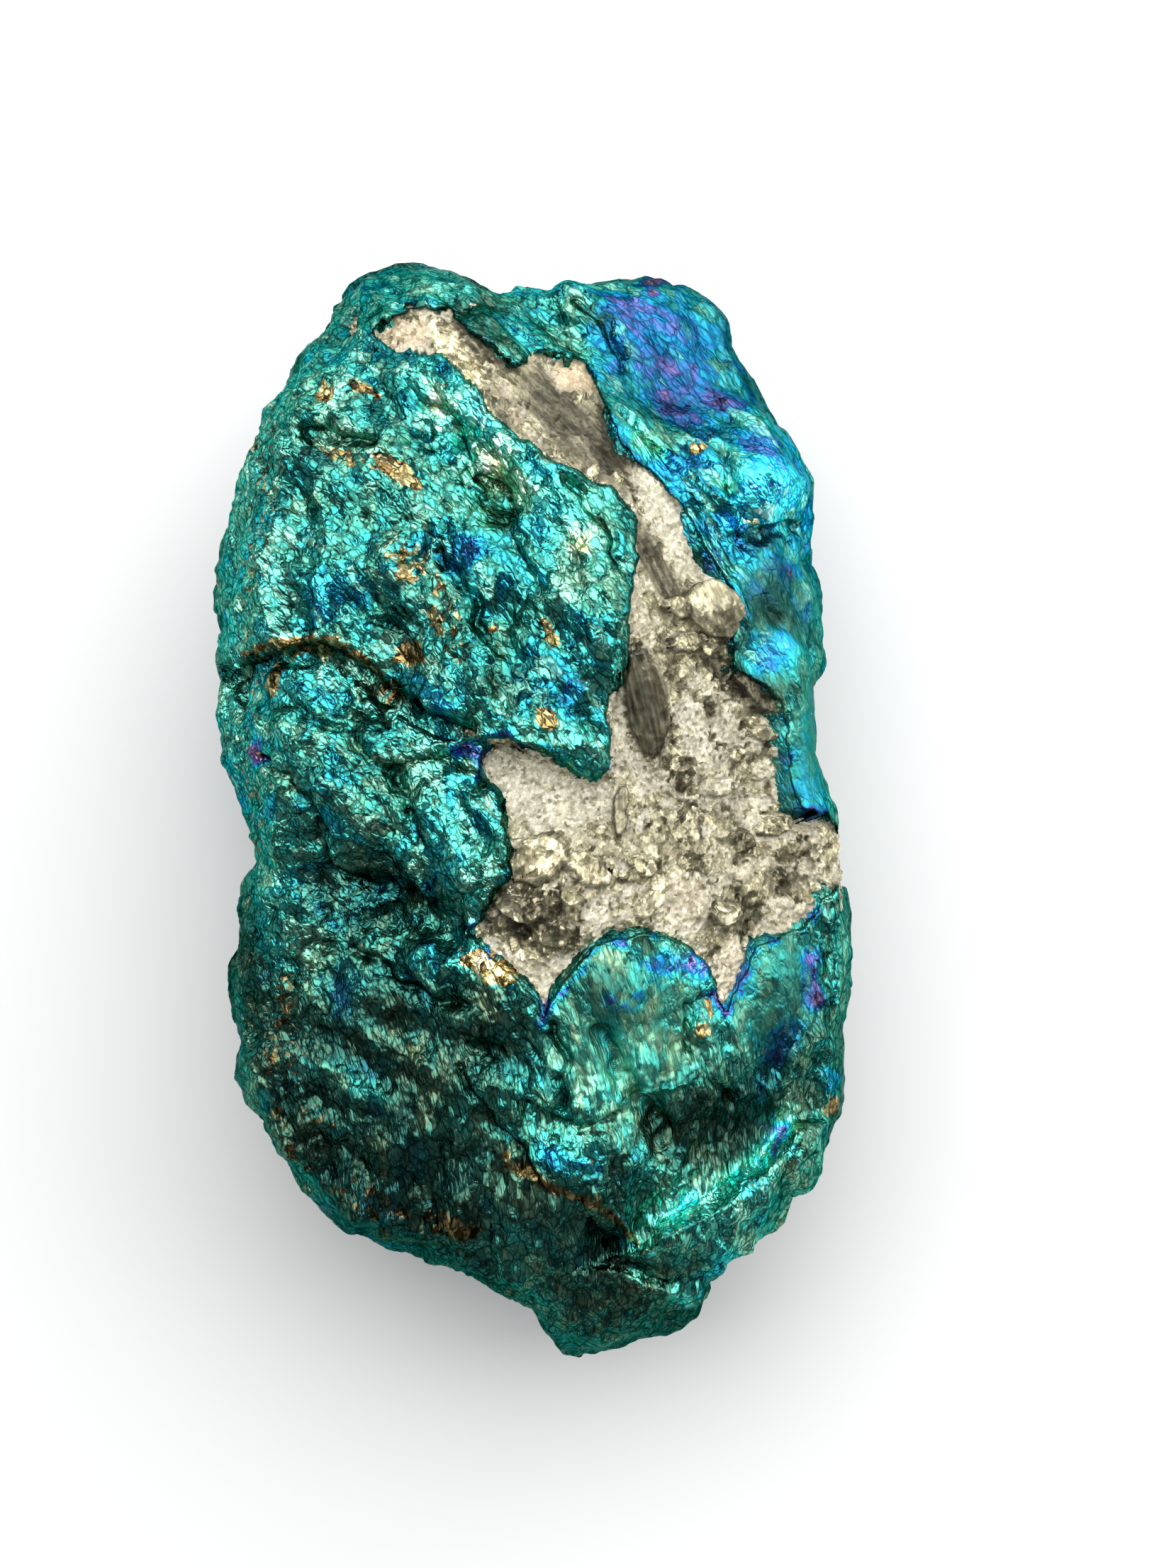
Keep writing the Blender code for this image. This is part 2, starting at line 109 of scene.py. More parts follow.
# The edge of the sunken pale band as the camera sees it, clockwise from its left tip near the crown.
BAND = (
    (-10.3, 30.2), (-9.6, 30.8), (-8.7, 31.3), (-8.0, 31.8), (-6.9, 31.7), (-5.9, 31.8), (-5.3, 31.5), (-4.6, 30.8),
    (-3.9, 30.1), (-3.0, 29.4), (-2.1, 28.6), (-1.3, 28.1), (-0.8, 28.3), (0.1, 28.7), (0.9, 28.9), (2.2, 28.5),
    (3.3, 28.0), (3.8, 27.2), (4.2, 26.2), (4.7, 25.1), (5.2, 23.8), (5.7, 23.0), (6.6, 22.1), (7.5, 21.5),
    (8.4, 20.4), (9.2, 19.4), (9.9, 18.1), (10.9, 16.4), (11.8, 15.1), (12.5, 13.8), (12.7, 12.2), (12.5, 10.7),
    (12.7, 9.2), (13.5, 8.6), (14.6, 7.7), (15.4, 7.1), (15.8, 5.9), (15.8, 4.3), (16.1, 2.5), (16.4, 1.0),
    (16.9, 0.1), (18.4, -0.1), (19.0, -1.0), (21.0, -2.4), (21.0, -4.6), (19.0, -4.7), (18.1, -5.6), (17.4, -6.9),
    (16.1, -7.5), (15.3, -8.0), (13.9, -8.4), (13.5, -9.7), (12.8, -10.9), (12.0, -12.6), (11.4, -11.7), (11.3, -10.7),
    (10.5, -9.1), (9.5, -8.4), (8.2, -7.7), (6.7, -7.7), (5.4, -8.0), (4.1, -8.4), (3.1, -9.1), (1.8, -10.7),
    (0.8, -12.0), (0.4, -13.1), (0.0, -11.7), (-1.0, -10.6), (-2.2, -9.6), (-3.6, -8.3), (-4.2, -7.6), (-3.5, -6.9),
    (-3.2, -6.1), (-2.5, -4.8), (-1.5, -4.0), (-1.7, -2.5), (-1.9, -1.3), (-2.0, 0.0), (-2.5, 1.5), (-3.3, 2.3),
    (-3.5, 3.8), (-3.1, 4.7), (-1.7, 4.7), (-0.4, 4.2), (0.8, 3.8), (1.8, 3.2), (2.6, 2.4), (3.6, 1.9),
    (4.5, 2.3), (4.9, 3.1), (4.7, 4.4), (4.5, 5.9), (4.7, 7.4), (5.4, 8.2), (5.8, 9.2), (5.9, 10.7),
    (6.0, 12.8), (6.2, 14.9), (6.5, 16.2), (6.3, 18.3), (5.6, 19.6), (4.8, 20.4), (3.9, 20.7), (2.9, 21.2),
    (1.8, 21.8), (0.7, 22.5), (-0.4, 23.3), (-1.3, 23.8), (-2.1, 24.4), (-2.9, 25.3), (-3.5, 26.4), (-4.2, 27.1),
    (-4.8, 27.8), (-5.5, 28.5), (-6.1, 29.0), (-6.9, 28.9), (-7.6, 29.1), (-8.7, 29.0), (-9.4, 29.4),
)

# The broken faces of the front: a point, its height above the rim, and how fast the face climbs along X and Y.
FRONT_FACES = {
    "upper_left": ((-8.6, 18.0), 12.0, 0.22, -0.10),
    "crown": ((-6.9, 32.7), 7.0, 0.05, -1.30),
    "upper_right": ((1.1, 22.5), 13.7, -0.45, -0.75),
    "band_side": ((4.9, 15.3), 15.2, -0.50, 0.05),
    "middle_left": ((-12.2, 1.9), 11.3, 0.34, 0.16),
    "lower_left": ((-8.6, -18.6), 10.6, 0.28, 0.38),
    "lower_middle": ((4.3, -15.0), 13.0, -0.12, 0.10),
    "lower_right": ((14.6, -13.7), 9.5, -0.50, 0.10),
    "bottom_tip": ((3.4, -30.2), 7.5, 0.02, 0.90),
    "left_flank": ((-17.0, 10.8), 10.6, 2.20, 0.02),
    "lower_left_flank": ((-12.5, -22.9), 7.8, 0.90, 1.60),
    "foot_side": ((-15.0, -13.0), 10.4, 1.60, 0.10),
}

# The broken faces of the back, given the same way but as depth below the rim.
BACK_FACES = {
    "middle": ((0.0, 0.0), 13.8, 0.01, -0.01),
    "left": ((-8.0, 0.0), 13.0, 0.62, 0.05),
    "right": ((7.5, 0.0), 13.0, -0.46, -0.08),
    "crown": ((0.0, 11.5), 13.0, 0.06, -0.42),
    "foot": ((0.0, -12.0), 13.0, -0.10, 0.56),
    "upper_left": ((-6.5, 8.0), 13.0, 0.36, -0.40),
    "lower_right": ((6.0, -9.5), 13.0, -0.50, 0.30),
    "left_side": ((-16.0, 4.0), 7.6, 1.60, -0.10),
    "right_side": ((16.4, 2.0), 7.0, -1.70, -0.20),
    "crown_side": ((-2.0, 29.0), 4.6, 0.15, -1.20),
    "foot_side": ((-9.0, -22.0), 6.4, 0.60, 1.10),
}

# Cracks and ledges: the ground drops on the right of the line, over the ramp, and climbs back over the way back.
LEDGES = {
    "crack": (((-17.6, 8.8), (-15.5, 9.5), (-12.2, 9.8), (-9.2, 7.8), (-6.9, 5.9), (-4.1, 4.8)), 1.9, 0.4, 4.5),
    "lobe": (((-3.4, 4.4), (-2.4, 4.7), (0.3, 4.0), (2.1, 3.2), (3.6, 2.0), (4.7, 2.6), (4.8, 4.6)), 0.9, 0.4, 3.5),
    "foot_ledge": (((18.6, -19.2), (16.1, -19.8), (14.4, -22.1), (10.9, -24.2), (7.7, -25.6)), 2.0, 1.1, 4.5),
    "plate_step": (((1.4, -17.8), (2.7, -18.3), (3.8, -18.0), (5.6, -17.5)), 0.8, 0.3, 3.0),
    "right_step": (((9.0, 20.6), (11.8, 18.0), (12.3, 16.8), (13.6, 17.0), (16.4, 18.0)), 1.0, 0.4, 4.0),
    "left_step": (((-8.6, -5.6), (-6.6, -5.0), (-4.6, -4.5)), 0.6, 0.4, 3.0),
}

# Ridges and troughs: a line, half its width, and its rise (a trough's is negative).
RIDGES = {
    "upper_trough": (((-9.5, 26.0), (-5.1, 22.5), (-2.4, 18.4), (0.3, 14.0)), 1.3, -0.7),
    "upper_ridge": (((-12.4, 27.4), (-10.2, 26.2), (-7.3, 24.5)), 0.9, 0.5),
    "middle_ridge": (((-8.5, 15.0), (-6.9, 14.0), (-4.4, 11.3), (-3.0, 8.0)), 1.2, 0.6),
    "waist": (((-19.0, -2.8), (-14.0, -3.5), (-10.6, -3.9), (-8.0, -5.7), (-5.1, -6.6)), 1.8, -1.1),
    "foot_ridge": (((-12.2, -12.4), (-9.7, -13.8), (-6.9, -15.1)), 0.9, 0.6),
    "foot_ridge_2": (((-13.1, -15.6), (-11.8, -16.4), (-8.6, -17.3)), 0.8, 0.5),
    "centre_arris": (((-1.7, -17.6), (0.4, -21.3), (3.8, -23.3), (6.3, -25.8)), 1.0, 0.5),
    "plate_groove": (((4.3, -13.1), (5.9, -17.1), (8.0, -19.6)), 0.7, -0.6),
    "crown_saddle": (((-2.3, 34.0), (-0.5, 30.5), (2.5, 28.5)), 1.8, -1.2),
    "band_crest": (((4.6, 13.0), (8.0, 8.0), (10.0, 2.0), (11.0, -4.0)), 1.6, 0.8),
    "tip_groove": (((4.8, -27.0), (7.7, -27.6), (10.6, -28.4)), 0.9, -0.7),
}

# Narrow creases that only the skin has: a line, half its width, and its fall.
CREASES = (
    (((-17.6, 8.8), (-15.5, 9.5), (-12.2, 9.8), (-9.2, 7.8), (-6.9, 5.9), (-4.1, 4.8)), 0.45, 1.3),
    (((-13.5, 22.9), (-11.5, 22.2), (-9.6, 22.6)), 0.35, 0.7),
    (((-7.4, 25.6), (-4.6, 23.0), (-3.2, 19.8)), 0.30, 0.4),
    (((-2.9, 19.6), (-1.7, 18.8), (-1.2, 17.6)), 0.30, 0.6),
    (((2.2, 19.6), (4.2, 17.4), (5.2, 14.6)), 0.30, 0.45),
    (((-5.4, 15.6), (-3.4, 12.6), (-2.2, 9.4)), 0.35, 0.5),
    (((-12.0, 13.6), (-9.6, 11.6), (-7.6, 11.2)), 0.30, 0.5),
    (((-14.5, 6.4), (-11.0, 4.6), (-8.0, 2.0), (-6.4, -1.6)), 0.35, 0.5),
    (((-16.4, 3.4), (-13.6, 0.6), (-12.4, -2.6)), 0.35, 0.5),
    (((-12.2, -3.2), (-10.0, -4.4), (-6.6, -5.4)), 0.35, 0.6),
    (((-11.0, -8.0), (-7.4, -10.6), (-4.0, -11.6)), 0.35, 0.5),
    (((-4.2, -15.2), (-2.4, -18.4), (0.2, -21.6)), 0.30, 0.5),
    (((4.3, -13.1), (5.9, -17.1), (8.0, -19.6)), 0.25, 0.5),
    (((1.2, -12.4), (2.0, -15.2), (1.6, -17.6)), 0.25, 0.5),
    (((9.6, -11.6), (10.2, -14.8), (12.2, -17.6)), 0.30, 0.5),
    (((3.4, -25.0), (5.4, -27.4), (8.6, -28.6)), 0.35, 0.7),
    (((12.2, 16.5), (13.6, 16.6), (16.0, 17.6)), 0.25, 0.4),
    (((2.4, 31.6), (4.6, 29.8), (5.6, 27.2)), 0.30, 0.5),
    (((9.4, 23.6), (11.4, 21.8), (12.0, 19.4)), 0.30, 0.5),
)

# Facets that the skin is levelled into: centre, half-sizes, turn in degrees, how fast it is tipped along X and Y, and
# how much of its roughness goes.
FLATS = (
    ((14.2, 19.9), (2.6, 2.5), -15.0, (0.30, 0.50), 0.7),
    ((15.0, 10.0), (2.0, 1.7), -20.0, (0.15, 0.10), 0.75),
    ((5.4, -12.6), (4.6, 4.4), 0.0, (0.0, 0.0), 0.45),
    ((15.2, -11.8), (2.6, 3.4), -15.0, (0.05, 0.10), 0.55),
    ((17.3, 4.0), (1.3, 4.2), 0.0, (0.0, 0.0), 0.8),
    ((14.5, 22.9), (2.6, 1.5), -30.0, (0.05, 0.15), 0.5),
    ((7.0, 29.0), (5.0, 3.4), -20.0, (0.0, 0.12), 0.5),
    ((-12.5, -0.6), (3.2, 2.2), -35.0, (0.10, 0.15), 0.4),
    ((-9.0, 18.8), (3.4, 2.6), -30.0, (0.05, 0.05), 0.3),
    ((1.6, 9.6), (3.4, 2.8), -20.0, (0.0, 0.08), 0.3),
    ((-9.5, -17.5), (5.0, 4.0), -30.0, (0.0, -0.05), 0.35),
)

# Hollows and bosses: centre, half-sizes along and across, turn in degrees, and rise (a fall is negative).
BOSSES = {
    "foot_hollow": ((11.4, -20.0), (4.6, 2.6), 22.0, -0.9),
    "round_pit": ((-3.0, -14.0), (1.4, 1.3), 0.0, -1.2),
    "upper_pit": ((-12.6, 22.2), (1.9, 1.0), -10.0, -1.0),
    "ridge_pit": ((-2.1, 18.8), (1.0, 1.3), 40.0, -0.9),
    "middle_pit": ((-8.5, 11.8), (1.8, 0.9), -30.0, -0.8),
    "middle_bulge": ((-12.6, 1.4), (5.0, 3.4), -40.0, 1.0),
    "crown_block": ((8.6, 31.0), (3.4, 2.2), 0.0, 1.0),
    "right_block": ((13.6, 20.8), (2.8, 2.4), 30.0, 1.0),
    "pocket": ((0.8, 1.2), (3.6, 2.2), -15.0, -0.9),
    "gold_knob": ((1.8, -5.2), (2.0, 1.8), 0.0, 0.9),
    "mint_plate": ((5.0, -11.0), (3.0, 2.2), 10.0, 0.7),
    "pale_lump": ((11.0, 12.6), (1.7, 1.4), 0.0, 0.9),
    "dark_lens": ((7.2, 7.2), (0.9, 2.6), 0.0, 0.7),
}

# What the surface breaks into: the size of the lumps and chips, how far they stand out, and a seed. The fine chips
# also have how far their facets lean, and the crests have a size along each axis.
LUMPS = (6.5, 1.2, 0)
CHIPS = ((3.2, 0.9, 0), (1.8, 0.5, 10))
FINE_CHIPS = ((2.4, 0.42, 1.0, 90), (1.2, 0.26, 0.8, 100), (0.55, 0.14, 0.5, 110))
BAND_CHIPS = ((1.15, 0.65, 71), (0.55, 0.42, 75))
SUGAR = (0.34, 0.34, 79)
CRESTS = ((2.2, 5.0, 3.0), 0.20, 125)
CREST_SHARPNESS = 1.6
SEED = 7

# Smooth random values: size, strength and seed.
WAVES = {
    "lump": (9.0, 0.3, 50),
    "crinkle": (0.45, 0.05, 120),
    "tongue": (1.8, 0.7, 195),
    "film_slow": (7.0, 0.06, 80),
    "film_quick": (2.4, 0.06, 81),
    "film_blue": (1.3, 0.09, 82),
    "film_gaps": (0.8, 1.0, 212),
    "burnt_gaps": (1.5, 1.0, 210),
    "burnt_film": (0.6, 0.08, 211),
    "tone_slow": (3.6, 0.35, 220),
    "tone_quick": (1.5, 0.25, 221),
    "brass": (2.4, 0.25, 70),
    "sugar": (1.6, 0.25, 83),
    "streaks": (1.0, 0.10, 84),
    "mottle_slow": (1.3, 0.22, 85),
    "mottle_quick": (0.5, 0.18, 86),
}

# Smooth random shifts, which make edges and lines wander: size, reach and the first axis's seed.
SWAYS = {
    "creases": (1.5, 0.5, 200),
    "facets": (1.2, 0.35, 140),
    "crests": (3.0, 1.2, 130),
    "band_edge": (0.9, 0.22, 190),
    "film": (2.2, 0.7, 230),
    "film_fine": (0.7, 0.3, 240),
    "bare": (0.9, 0.35, 150),
    "tone_and_painted_light": (1.6, 0.5, 160),
    "makeup": (1.1, 0.3, 170),
    "grains": (0.7, 0.12, 180),
}
NOISE_GAIN = 1.6

# The usual distance to the nearest seed point, as a share of the seeds' spacing.
USUAL_FLAT = 0.386
USUAL_ROUND = 0.308

# The grain runs round a far centre, and its chips are longer along it. The band's own flow bends at its upper end.
GRAIN_CENTRE = (-60.0, -30.0)
GRAIN_STRETCH = 1.8
CHIP_STRETCH = (1.0, 1.35, 1.0)
STREAK_STRETCH = (2.4, 0.22, 1.0)
FLOW_BEND = 0.0175

# How the outline is smoothed away from the rim: the turns in degrees that are averaged, and how near the rim is.
SMOOTHING_TURNS = (-15, -10, -5, 0, 5, 10, 15)
NEAR_RIM = 0.3
FRONT_FADE = 0.35

# The share of the lumps and of the fine relief that goes at the rim, and how far from it.
LUMP_LOSS = 0.6
LUMP_LOSS_REACH = 0.15
RELIEF_LOSS = 0.45
RELIEF_LOSS_REACH = 0.2
FLAT_PUSH_SHARE = 0.7

# Where a surface counts as a wall under the rim: how squarely it faces the camera, and its direction's height.
WALL_FACING = (0.60, 0.30)
WALL_HEIGHT = (0.30, 0.10)

# How far the band lies under the lip, over what width the lip bends down, how far it drops, and how far it is kept.
BAND_DEPTH = 1.1
BAND_LIP = 0.18
LIP_DROP = 2.2
LIP_REACH = 0.5
BAND_PUSH_SHARE = 0.6
BAND_UNDER_SKIN = 1.4
BAND_SEARCH = 3.5

# Where the band may show, by the height of its direction, which is lower where it wraps over the right side.
BAND_LOWEST = 0.12
WRAP_SIDE = 0.65
WRAP_LOWEST = -0.36

# The tongue of the band on the right wall: its middle and half-width along Y, and between which heights it narrows
# and, further up, stops counting.
TONGUE_SIDE = 0.7
TONGUE_MIDDLE = -2.6
TONGUE_WIDTH = 6.5
TONGUE_CUT = 0.4
TONGUE_NARROWS = (-0.30, 0.12)
TONGUE_WIDENING = 16.0
TONGUE_WIDENS = (0.05, 0.30)
OFF_TONGUE = 1.5

# The tarnish film, from 0 (thin, brown and gold) through violet, blue and teal to 1 (thick, yellow-green).
# It is teal in general, and bluer at the upper right.
TEAL_FILM = 0.69
BLUE_FILM = 0.57
BLUE_SHARE = 0.75
LOW_FILM = 0.04
FRONT_FILM_FADE = (-0.05, 0.12)

# Each patch of film: centre, half-sizes, turn in degrees, film, and how strongly it shows.
FILM_PATCHES = (
    ((-6.3, 25.8), (0.5, 0.8), 10.0, 1.00, 1.0),
    ((-3.2, 23.2), (4.8, 1.3), -47.0, 0.86, 0.8),
    ((-1.8, 20.8), (2.0, 1.2), -48.0, 0.97, 0.9),
    ((3.0, 16.9), (0.8, 0.9), 0.0, 0.95, 0.9),
    ((-4.4, 16.3), (1.1, 1.2), 0.0, 0.48, 0.9),
    ((1.0, 8.5), (3.2, 2.6), 0.0, 0.52, 0.6),
    ((-14.0, 11.6), (1.0, 1.5), 0.0, 0.50, 0.8),
    ((-4.2, 3.9), (0.9, 0.5), 0.0, 0.25, 1.0),
    ((-3.7, 3.1), (0.35, 1.0), 0.0, 0.18, 1.0),
    ((-17.6, 3.7), (0.5, 0.9), -20.0, 0.22, 1.0),
    ((-12.7, -11.2), (0.8, 2.6), 5.0, 0.42, 0.6),
    ((5.2, -13.0), (4.6, 5.0), 0.0, 0.77, 0.7),
    ((14.6, -12.5), (2.2, 3.6), -10.0, 0.72, 0.8),
    ((8.6, -9.6), (2.3, 1.0), -8.0, 0.45, 1.0),
    ((17.4, -9.4), (0.9, 1.5), 0.0, 0.36, 1.0),
    ((17.4, -11.8), (0.8, 1.2), 0.0, 0.37, 1.0),
    ((15.9, -14.5), (1.0, 1.7), -30.0, 0.42, 1.0),
    ((18.6, -17.0), (0.9, 0.9), 0.0, 0.55, 1.0),
    ((2.4, -21.4), (2.6, 1.6), -10.0, 0.58, 0.9),
    ((18.5, -16.8), (0.7, 0.8), 0.0, 0.55, 0.9),
    ((15.5, -20.4), (0.3, 1.0), -20.0, 0.15, 0.9),
    ((7.2, 29.2), (4.2, 3.2), -20.0, 0.43, 0.8),
    ((6.5, 31.0), (2.6, 1.0), -10.0, 0.35, 0.8),
    ((8.4, 28.2), (2.8, 1.2), -30.0, 0.33, 0.7),
    ((8.5, 25.6), (1.6, 1.4), 0.0, 0.36, 0.8),
    ((11.8, 25.8), (1.9, 1.2), 0.0, 0.38, 0.8),
    ((7.0, 23.5), (1.3, 1.5), -20.0, 0.86, 0.9),
    ((7.6, 32.9), (0.9, 0.5), 0.0, 0.20, 0.9),
    ((14.2, 19.8), (2.2, 2.4), 0.0, 0.55, 0.95),
    ((14.6, 22.8), (2.2, 1.4), 0.0, 0.46, 0.85),
    ((16.0, 15.0), (0.8, 0.9), 0.0, 0.45, 0.9),
    ((15.0, 10.0), (1.9, 1.6), -20.0, 0.47, 1.0),
)

# Worn spots, which show brown, copper and gold: centre, half-sizes, turn in degrees, and how strongly they show.
BARE_PATCHES = (
    ((-13.3, 26.5), (0.65, 0.65), 0.0, 1.0),
    ((-10.6, 26.7), (1.3, 0.4), -25.0, 0.8),
    ((-8.6, 21.4), (2.0, 0.6), -35.0, 0.9),
    ((-7.9, 10.0), (1.1, 0.8), 0.0, 1.0),
    ((-16.3, 8.2), (0.4, 1.0), -20.0, 1.0),
    ((-14.2, 9.8), (1.9, 0.35), 5.0, 1.0),
    ((-9.3, 7.3), (0.9, 0.5), -30.0, 0.9),
    ((0.7, 5.9), (0.7, 0.7), 0.0, 1.0),
    ((1.0, 11.3), (0.5, 1.1), 30.0, 0.9),
    ((-2.8, 11.5), (0.35, 0.35), 0.0, 1.0),
    ((-5.0, -26.0), (2.0, 0.8), -15.0, 0.8),
    ((11.2, -12.4), (0.35, 0.9), 20.0, 1.0),
    ((10.6, -13.8), (0.4, 0.5), 0.0, 0.9),
    ((19.0, -18.6), (0.5, 0.7), 0.0, 1.0),
    ((19.2, -2.8), (0.5, 1.4), 0.0, 1.0),
    ((10.3, 23.1), (0.6, 0.4), 0.0, 0.9),
    ((14.1, 18.2), (0.3, 0.3), 0.0, 0.9),
    ((-12.2, 22.4), (2.2, 0.5), -20.0, 0.5),
    ((-8.5, 15.8), (0.8, 1.8), 30.0, 0.45),
    ((-6.0, 12.0), (0.7, 1.6), 40.0, 0.5),
    ((-16.2, -13.5), (0.7, 4.0), -10.0, 0.45),
    ((-9.0, -24.6), (3.2, 0.5), -35.0, 0.4),
    ((-3.0, -9.8), (2.0, 0.8), -28.0, 1.0),
)

# Lines along which the surface is worn: a line, half its width, and how strongly it shows.
BARE_LINES = (
    (((-15.8, 24.2), (-16.9, 15.3), (-17.1, 10.8), (-17.6, 6.8), (-17.2, -2.0)), 0.9, 0.25),
    (((-15.8, -10.6), (-14.6, -14.5), (-13.1, -18.6)), 0.9, 0.3),
    (((-8.2, 16.9), (-5.2, 13.1), (-4.0, 9.2)), 0.6, 0.35),
    (((-1.5, -20.7), (2.0, -22.8), (3.8, -23.3), (6.3, -25.8)), 0.35, 0.85),
    (((-15.6, -17.6), (-14.6, -20.9), (-12.5, -22.9), (-10.0, -23.7), (-8.3, -25.7), (-6.4, -26.3)), 0.35, 0.42),
    (((-17.6, 9.4), (-15.5, 10.1), (-12.2, 10.4), (-9.2, 8.4)), 0.38, 0.9),
)

# Darker and brighter regions, mostly painted light and shade and partly the surface's own tone: centre, half-sizes,
# turn in degrees, tone, and how strongly it shows.
TONE_AND_PAINTED_LIGHT_PATCHES = (
    ((-9.5, 20.5), (7.5, 6.5), -30.0, 0.66, 0.7),
    ((-4.0, 31.5), (9.0, 3.5), -10.0, 0.8, 0.5),
    ((-3.0, 11.0), (8.0, 6.0), -30.0, 0.66, 0.75),
    ((15.0, 11.5), (3.0, 5.6), 0.0, 0.17, 0.9),
    ((8.5, 28.0), (5.6, 6.0), -20.0, 0.55, 0.85),
    ((-12.0, 1.5), (4.5, 5.5), 0.0, 0.62, 0.9),
    ((-11.0, -5.5), (7.0, 3.0), -10.0, 0.42, 0.9),
    ((-10.0, -16.0), (8.5, 7.5), -20.0, 0.19, 0.92),
    ((-3.0, -13.5), (4.0, 5.0), 0.0, 0.36, 0.9),
    ((-7.0, -24.5), (8.0, 4.5), -15.0, 0.18, 0.95),
    ((2.5, -24.5), (5.0, 4.8), 0.0, 0.33, 0.9),
    ((2.4, -21.2), (2.4, 1.5), -10.0, 1.1, 0.9),
    ((4.1, -11.2), (2.6, 2.2), 0.0, 0.34, 0.85),
    ((8.6, -9.6), (2.3, 1.0), -8.0, 1.3, 1.0),
    ((15.9, -14.5), (1.0, 1.7), -30.0, 1.2, 1.0),
    ((17.4, -10.6), (0.9, 2.4), 0.0, 1.0, 1.0),
    ((18.6, -17.0), (0.9, 0.9), 0.0, 1.6, 1.0),
    ((-2.8, -9.7), (2.2, 0.9), -28.0, 2.6, 1.0),
    ((6.0, -30.5), (7.0, 4.0), 0.0, 0.22, 0.9),
    ((6.6, -27.4), (1.3, 0.7), -10.0, 1.5, 1.0),
    ((6.9, -29.2), (1.1, 0.5), 0.0, 1.3, 1.0),
    ((9.2, -30.1), (0.9, 0.7), 0.0, 1.1, 1.0),
    ((11.6, -19.6), (4.6, 3.0), 20.0, 0.13, 0.95),
    ((16.5, -14.0), (3.4, 6.0), 0.0, 0.43, 0.9),
    ((17.3, 4.0), (1.2, 4.6), 0.0, 0.55, 1.0),
    ((15.0, 10.0), (1.8, 1.5), -20.0, 1.6, 1.0),
    ((-2.6, 22.8), (6.8, 1.9), -46.0, 2.2, 0.9),
    ((-13.5, 22.4), (1.6, 0.8), -10.0, 0.35, 1.0),
    ((-2.3, 18.5), (0.8, 1.2), 30.0, 0.35, 1.0),
    ((-8.6, 11.8), (1.6, 0.8), -20.0, 0.45, 1.0),
    ((-2.1, 8.5), (1.0, 0.7), 0.0, 0.5, 1.0),
    ((-10.6, -3.9), (1.2, 0.8), 0.0, 0.4, 1.0),
    ((-3.0, -13.8), (1.3, 1.2), 0.0, 0.3, 1.0),
    ((-3.3, 32.0), (1.8, 1.2), 0.0, 0.3, 1.0),
    ((-3.2, 30.4), (2.4, 0.9), -42.0, 0.35, 1.0),
    ((3.4, 31.0), (2.2, 1.2), -20.0, 0.5, 1.0),
    ((14.2, 19.8), (2.2, 2.4), -15.0, 2.6, 1.0),
    ((14.2, 16.9), (2.1, 0.5), 15.0, 0.4, 1.0),
    ((7.2, 23.4), (1.9, 1.3), -50.0, 1.8, 1.0),
    ((-16.7, -4.9), (1.2, 1.7), 0.0, 1.2, 1.0),
    ((-18.9, 11.7), (0.9, 5.3), 0.0, 1.2, 1.0),
)

# Darker and brighter lines, which are painted highlights and painted shade: a line, half its width, tone, and how
# strongly it shows.
PAINTED_LIGHT_LINES = (
    (((7.7, -25.6), (10.9, -24.0), (14.0, -22.0), (15.3, -20.6), (16.1, -19.2)), 0.6, 2.6, 1.0),
    (((-10.4, -13.5), (-6.9, -15.1)), 0.7, 0.42, 1.0),
    (((-14.6, -16.2), (-12.0, -16.6), (-9.6, -17.8)), 0.8, 0.6, 1.0),
    (((-18.8, -6.0), (-17.7, -13.0), (-14.7, -20.5), (-10.2, -25.6), (-4.0, -28.4), (0.5, -33.0)), 1.3, 0.22, 1.0),
)

# Below the rim the tone fades to its usual value, and walls are darker with painted shade. So is the skin along the
# band's edge, with painted shade.
TONE_FADE = (-0.35, -0.05)
WALL_PAINTED_SHADE = 0.45
EDGE_PAINTED_SHADE = 0.6

# Lines along which the film is thinner: a line, half its width, the film there, and how strongly it shows.
FILM_LINES = (
    (((0.6, -13.2), (1.5, -11.7), (2.7, -10.3), (3.6, -8.8), (5.0, -8.1), (6.1, -8.0)), 0.25, 0.34, 0.9),
    (((13.8, -8.6), (13.4, -9.9), (13.0, -11.5), (12.1, -12.7)), 0.25, 0.30, 0.9),
    (((4.6, -12.3), (6.0, -11.9), (7.4, -11.4), (8.6, -11.1)), 0.42, 0.40, 1.0),
)

# The burnt rim along the band: its film, how far outside the edge it lies, its width and share, and how much of it
# goes in the upper half.
BURNT_FILM = 0.35
BURNT_OUTSIDE = 0.10
BURNT_WIDTH = 0.30
BURNT_SHARE = 0.9
BURNT_LOSS_ABOVE = 0.7

# What the band is made of in general: brass, tone, sleekness and warmth. Grains are cut out where brass is high.
USUAL_MAKEUP = (0.52, 0.92, 0.0, 0.1)
BRASSY_FROM = 0.7

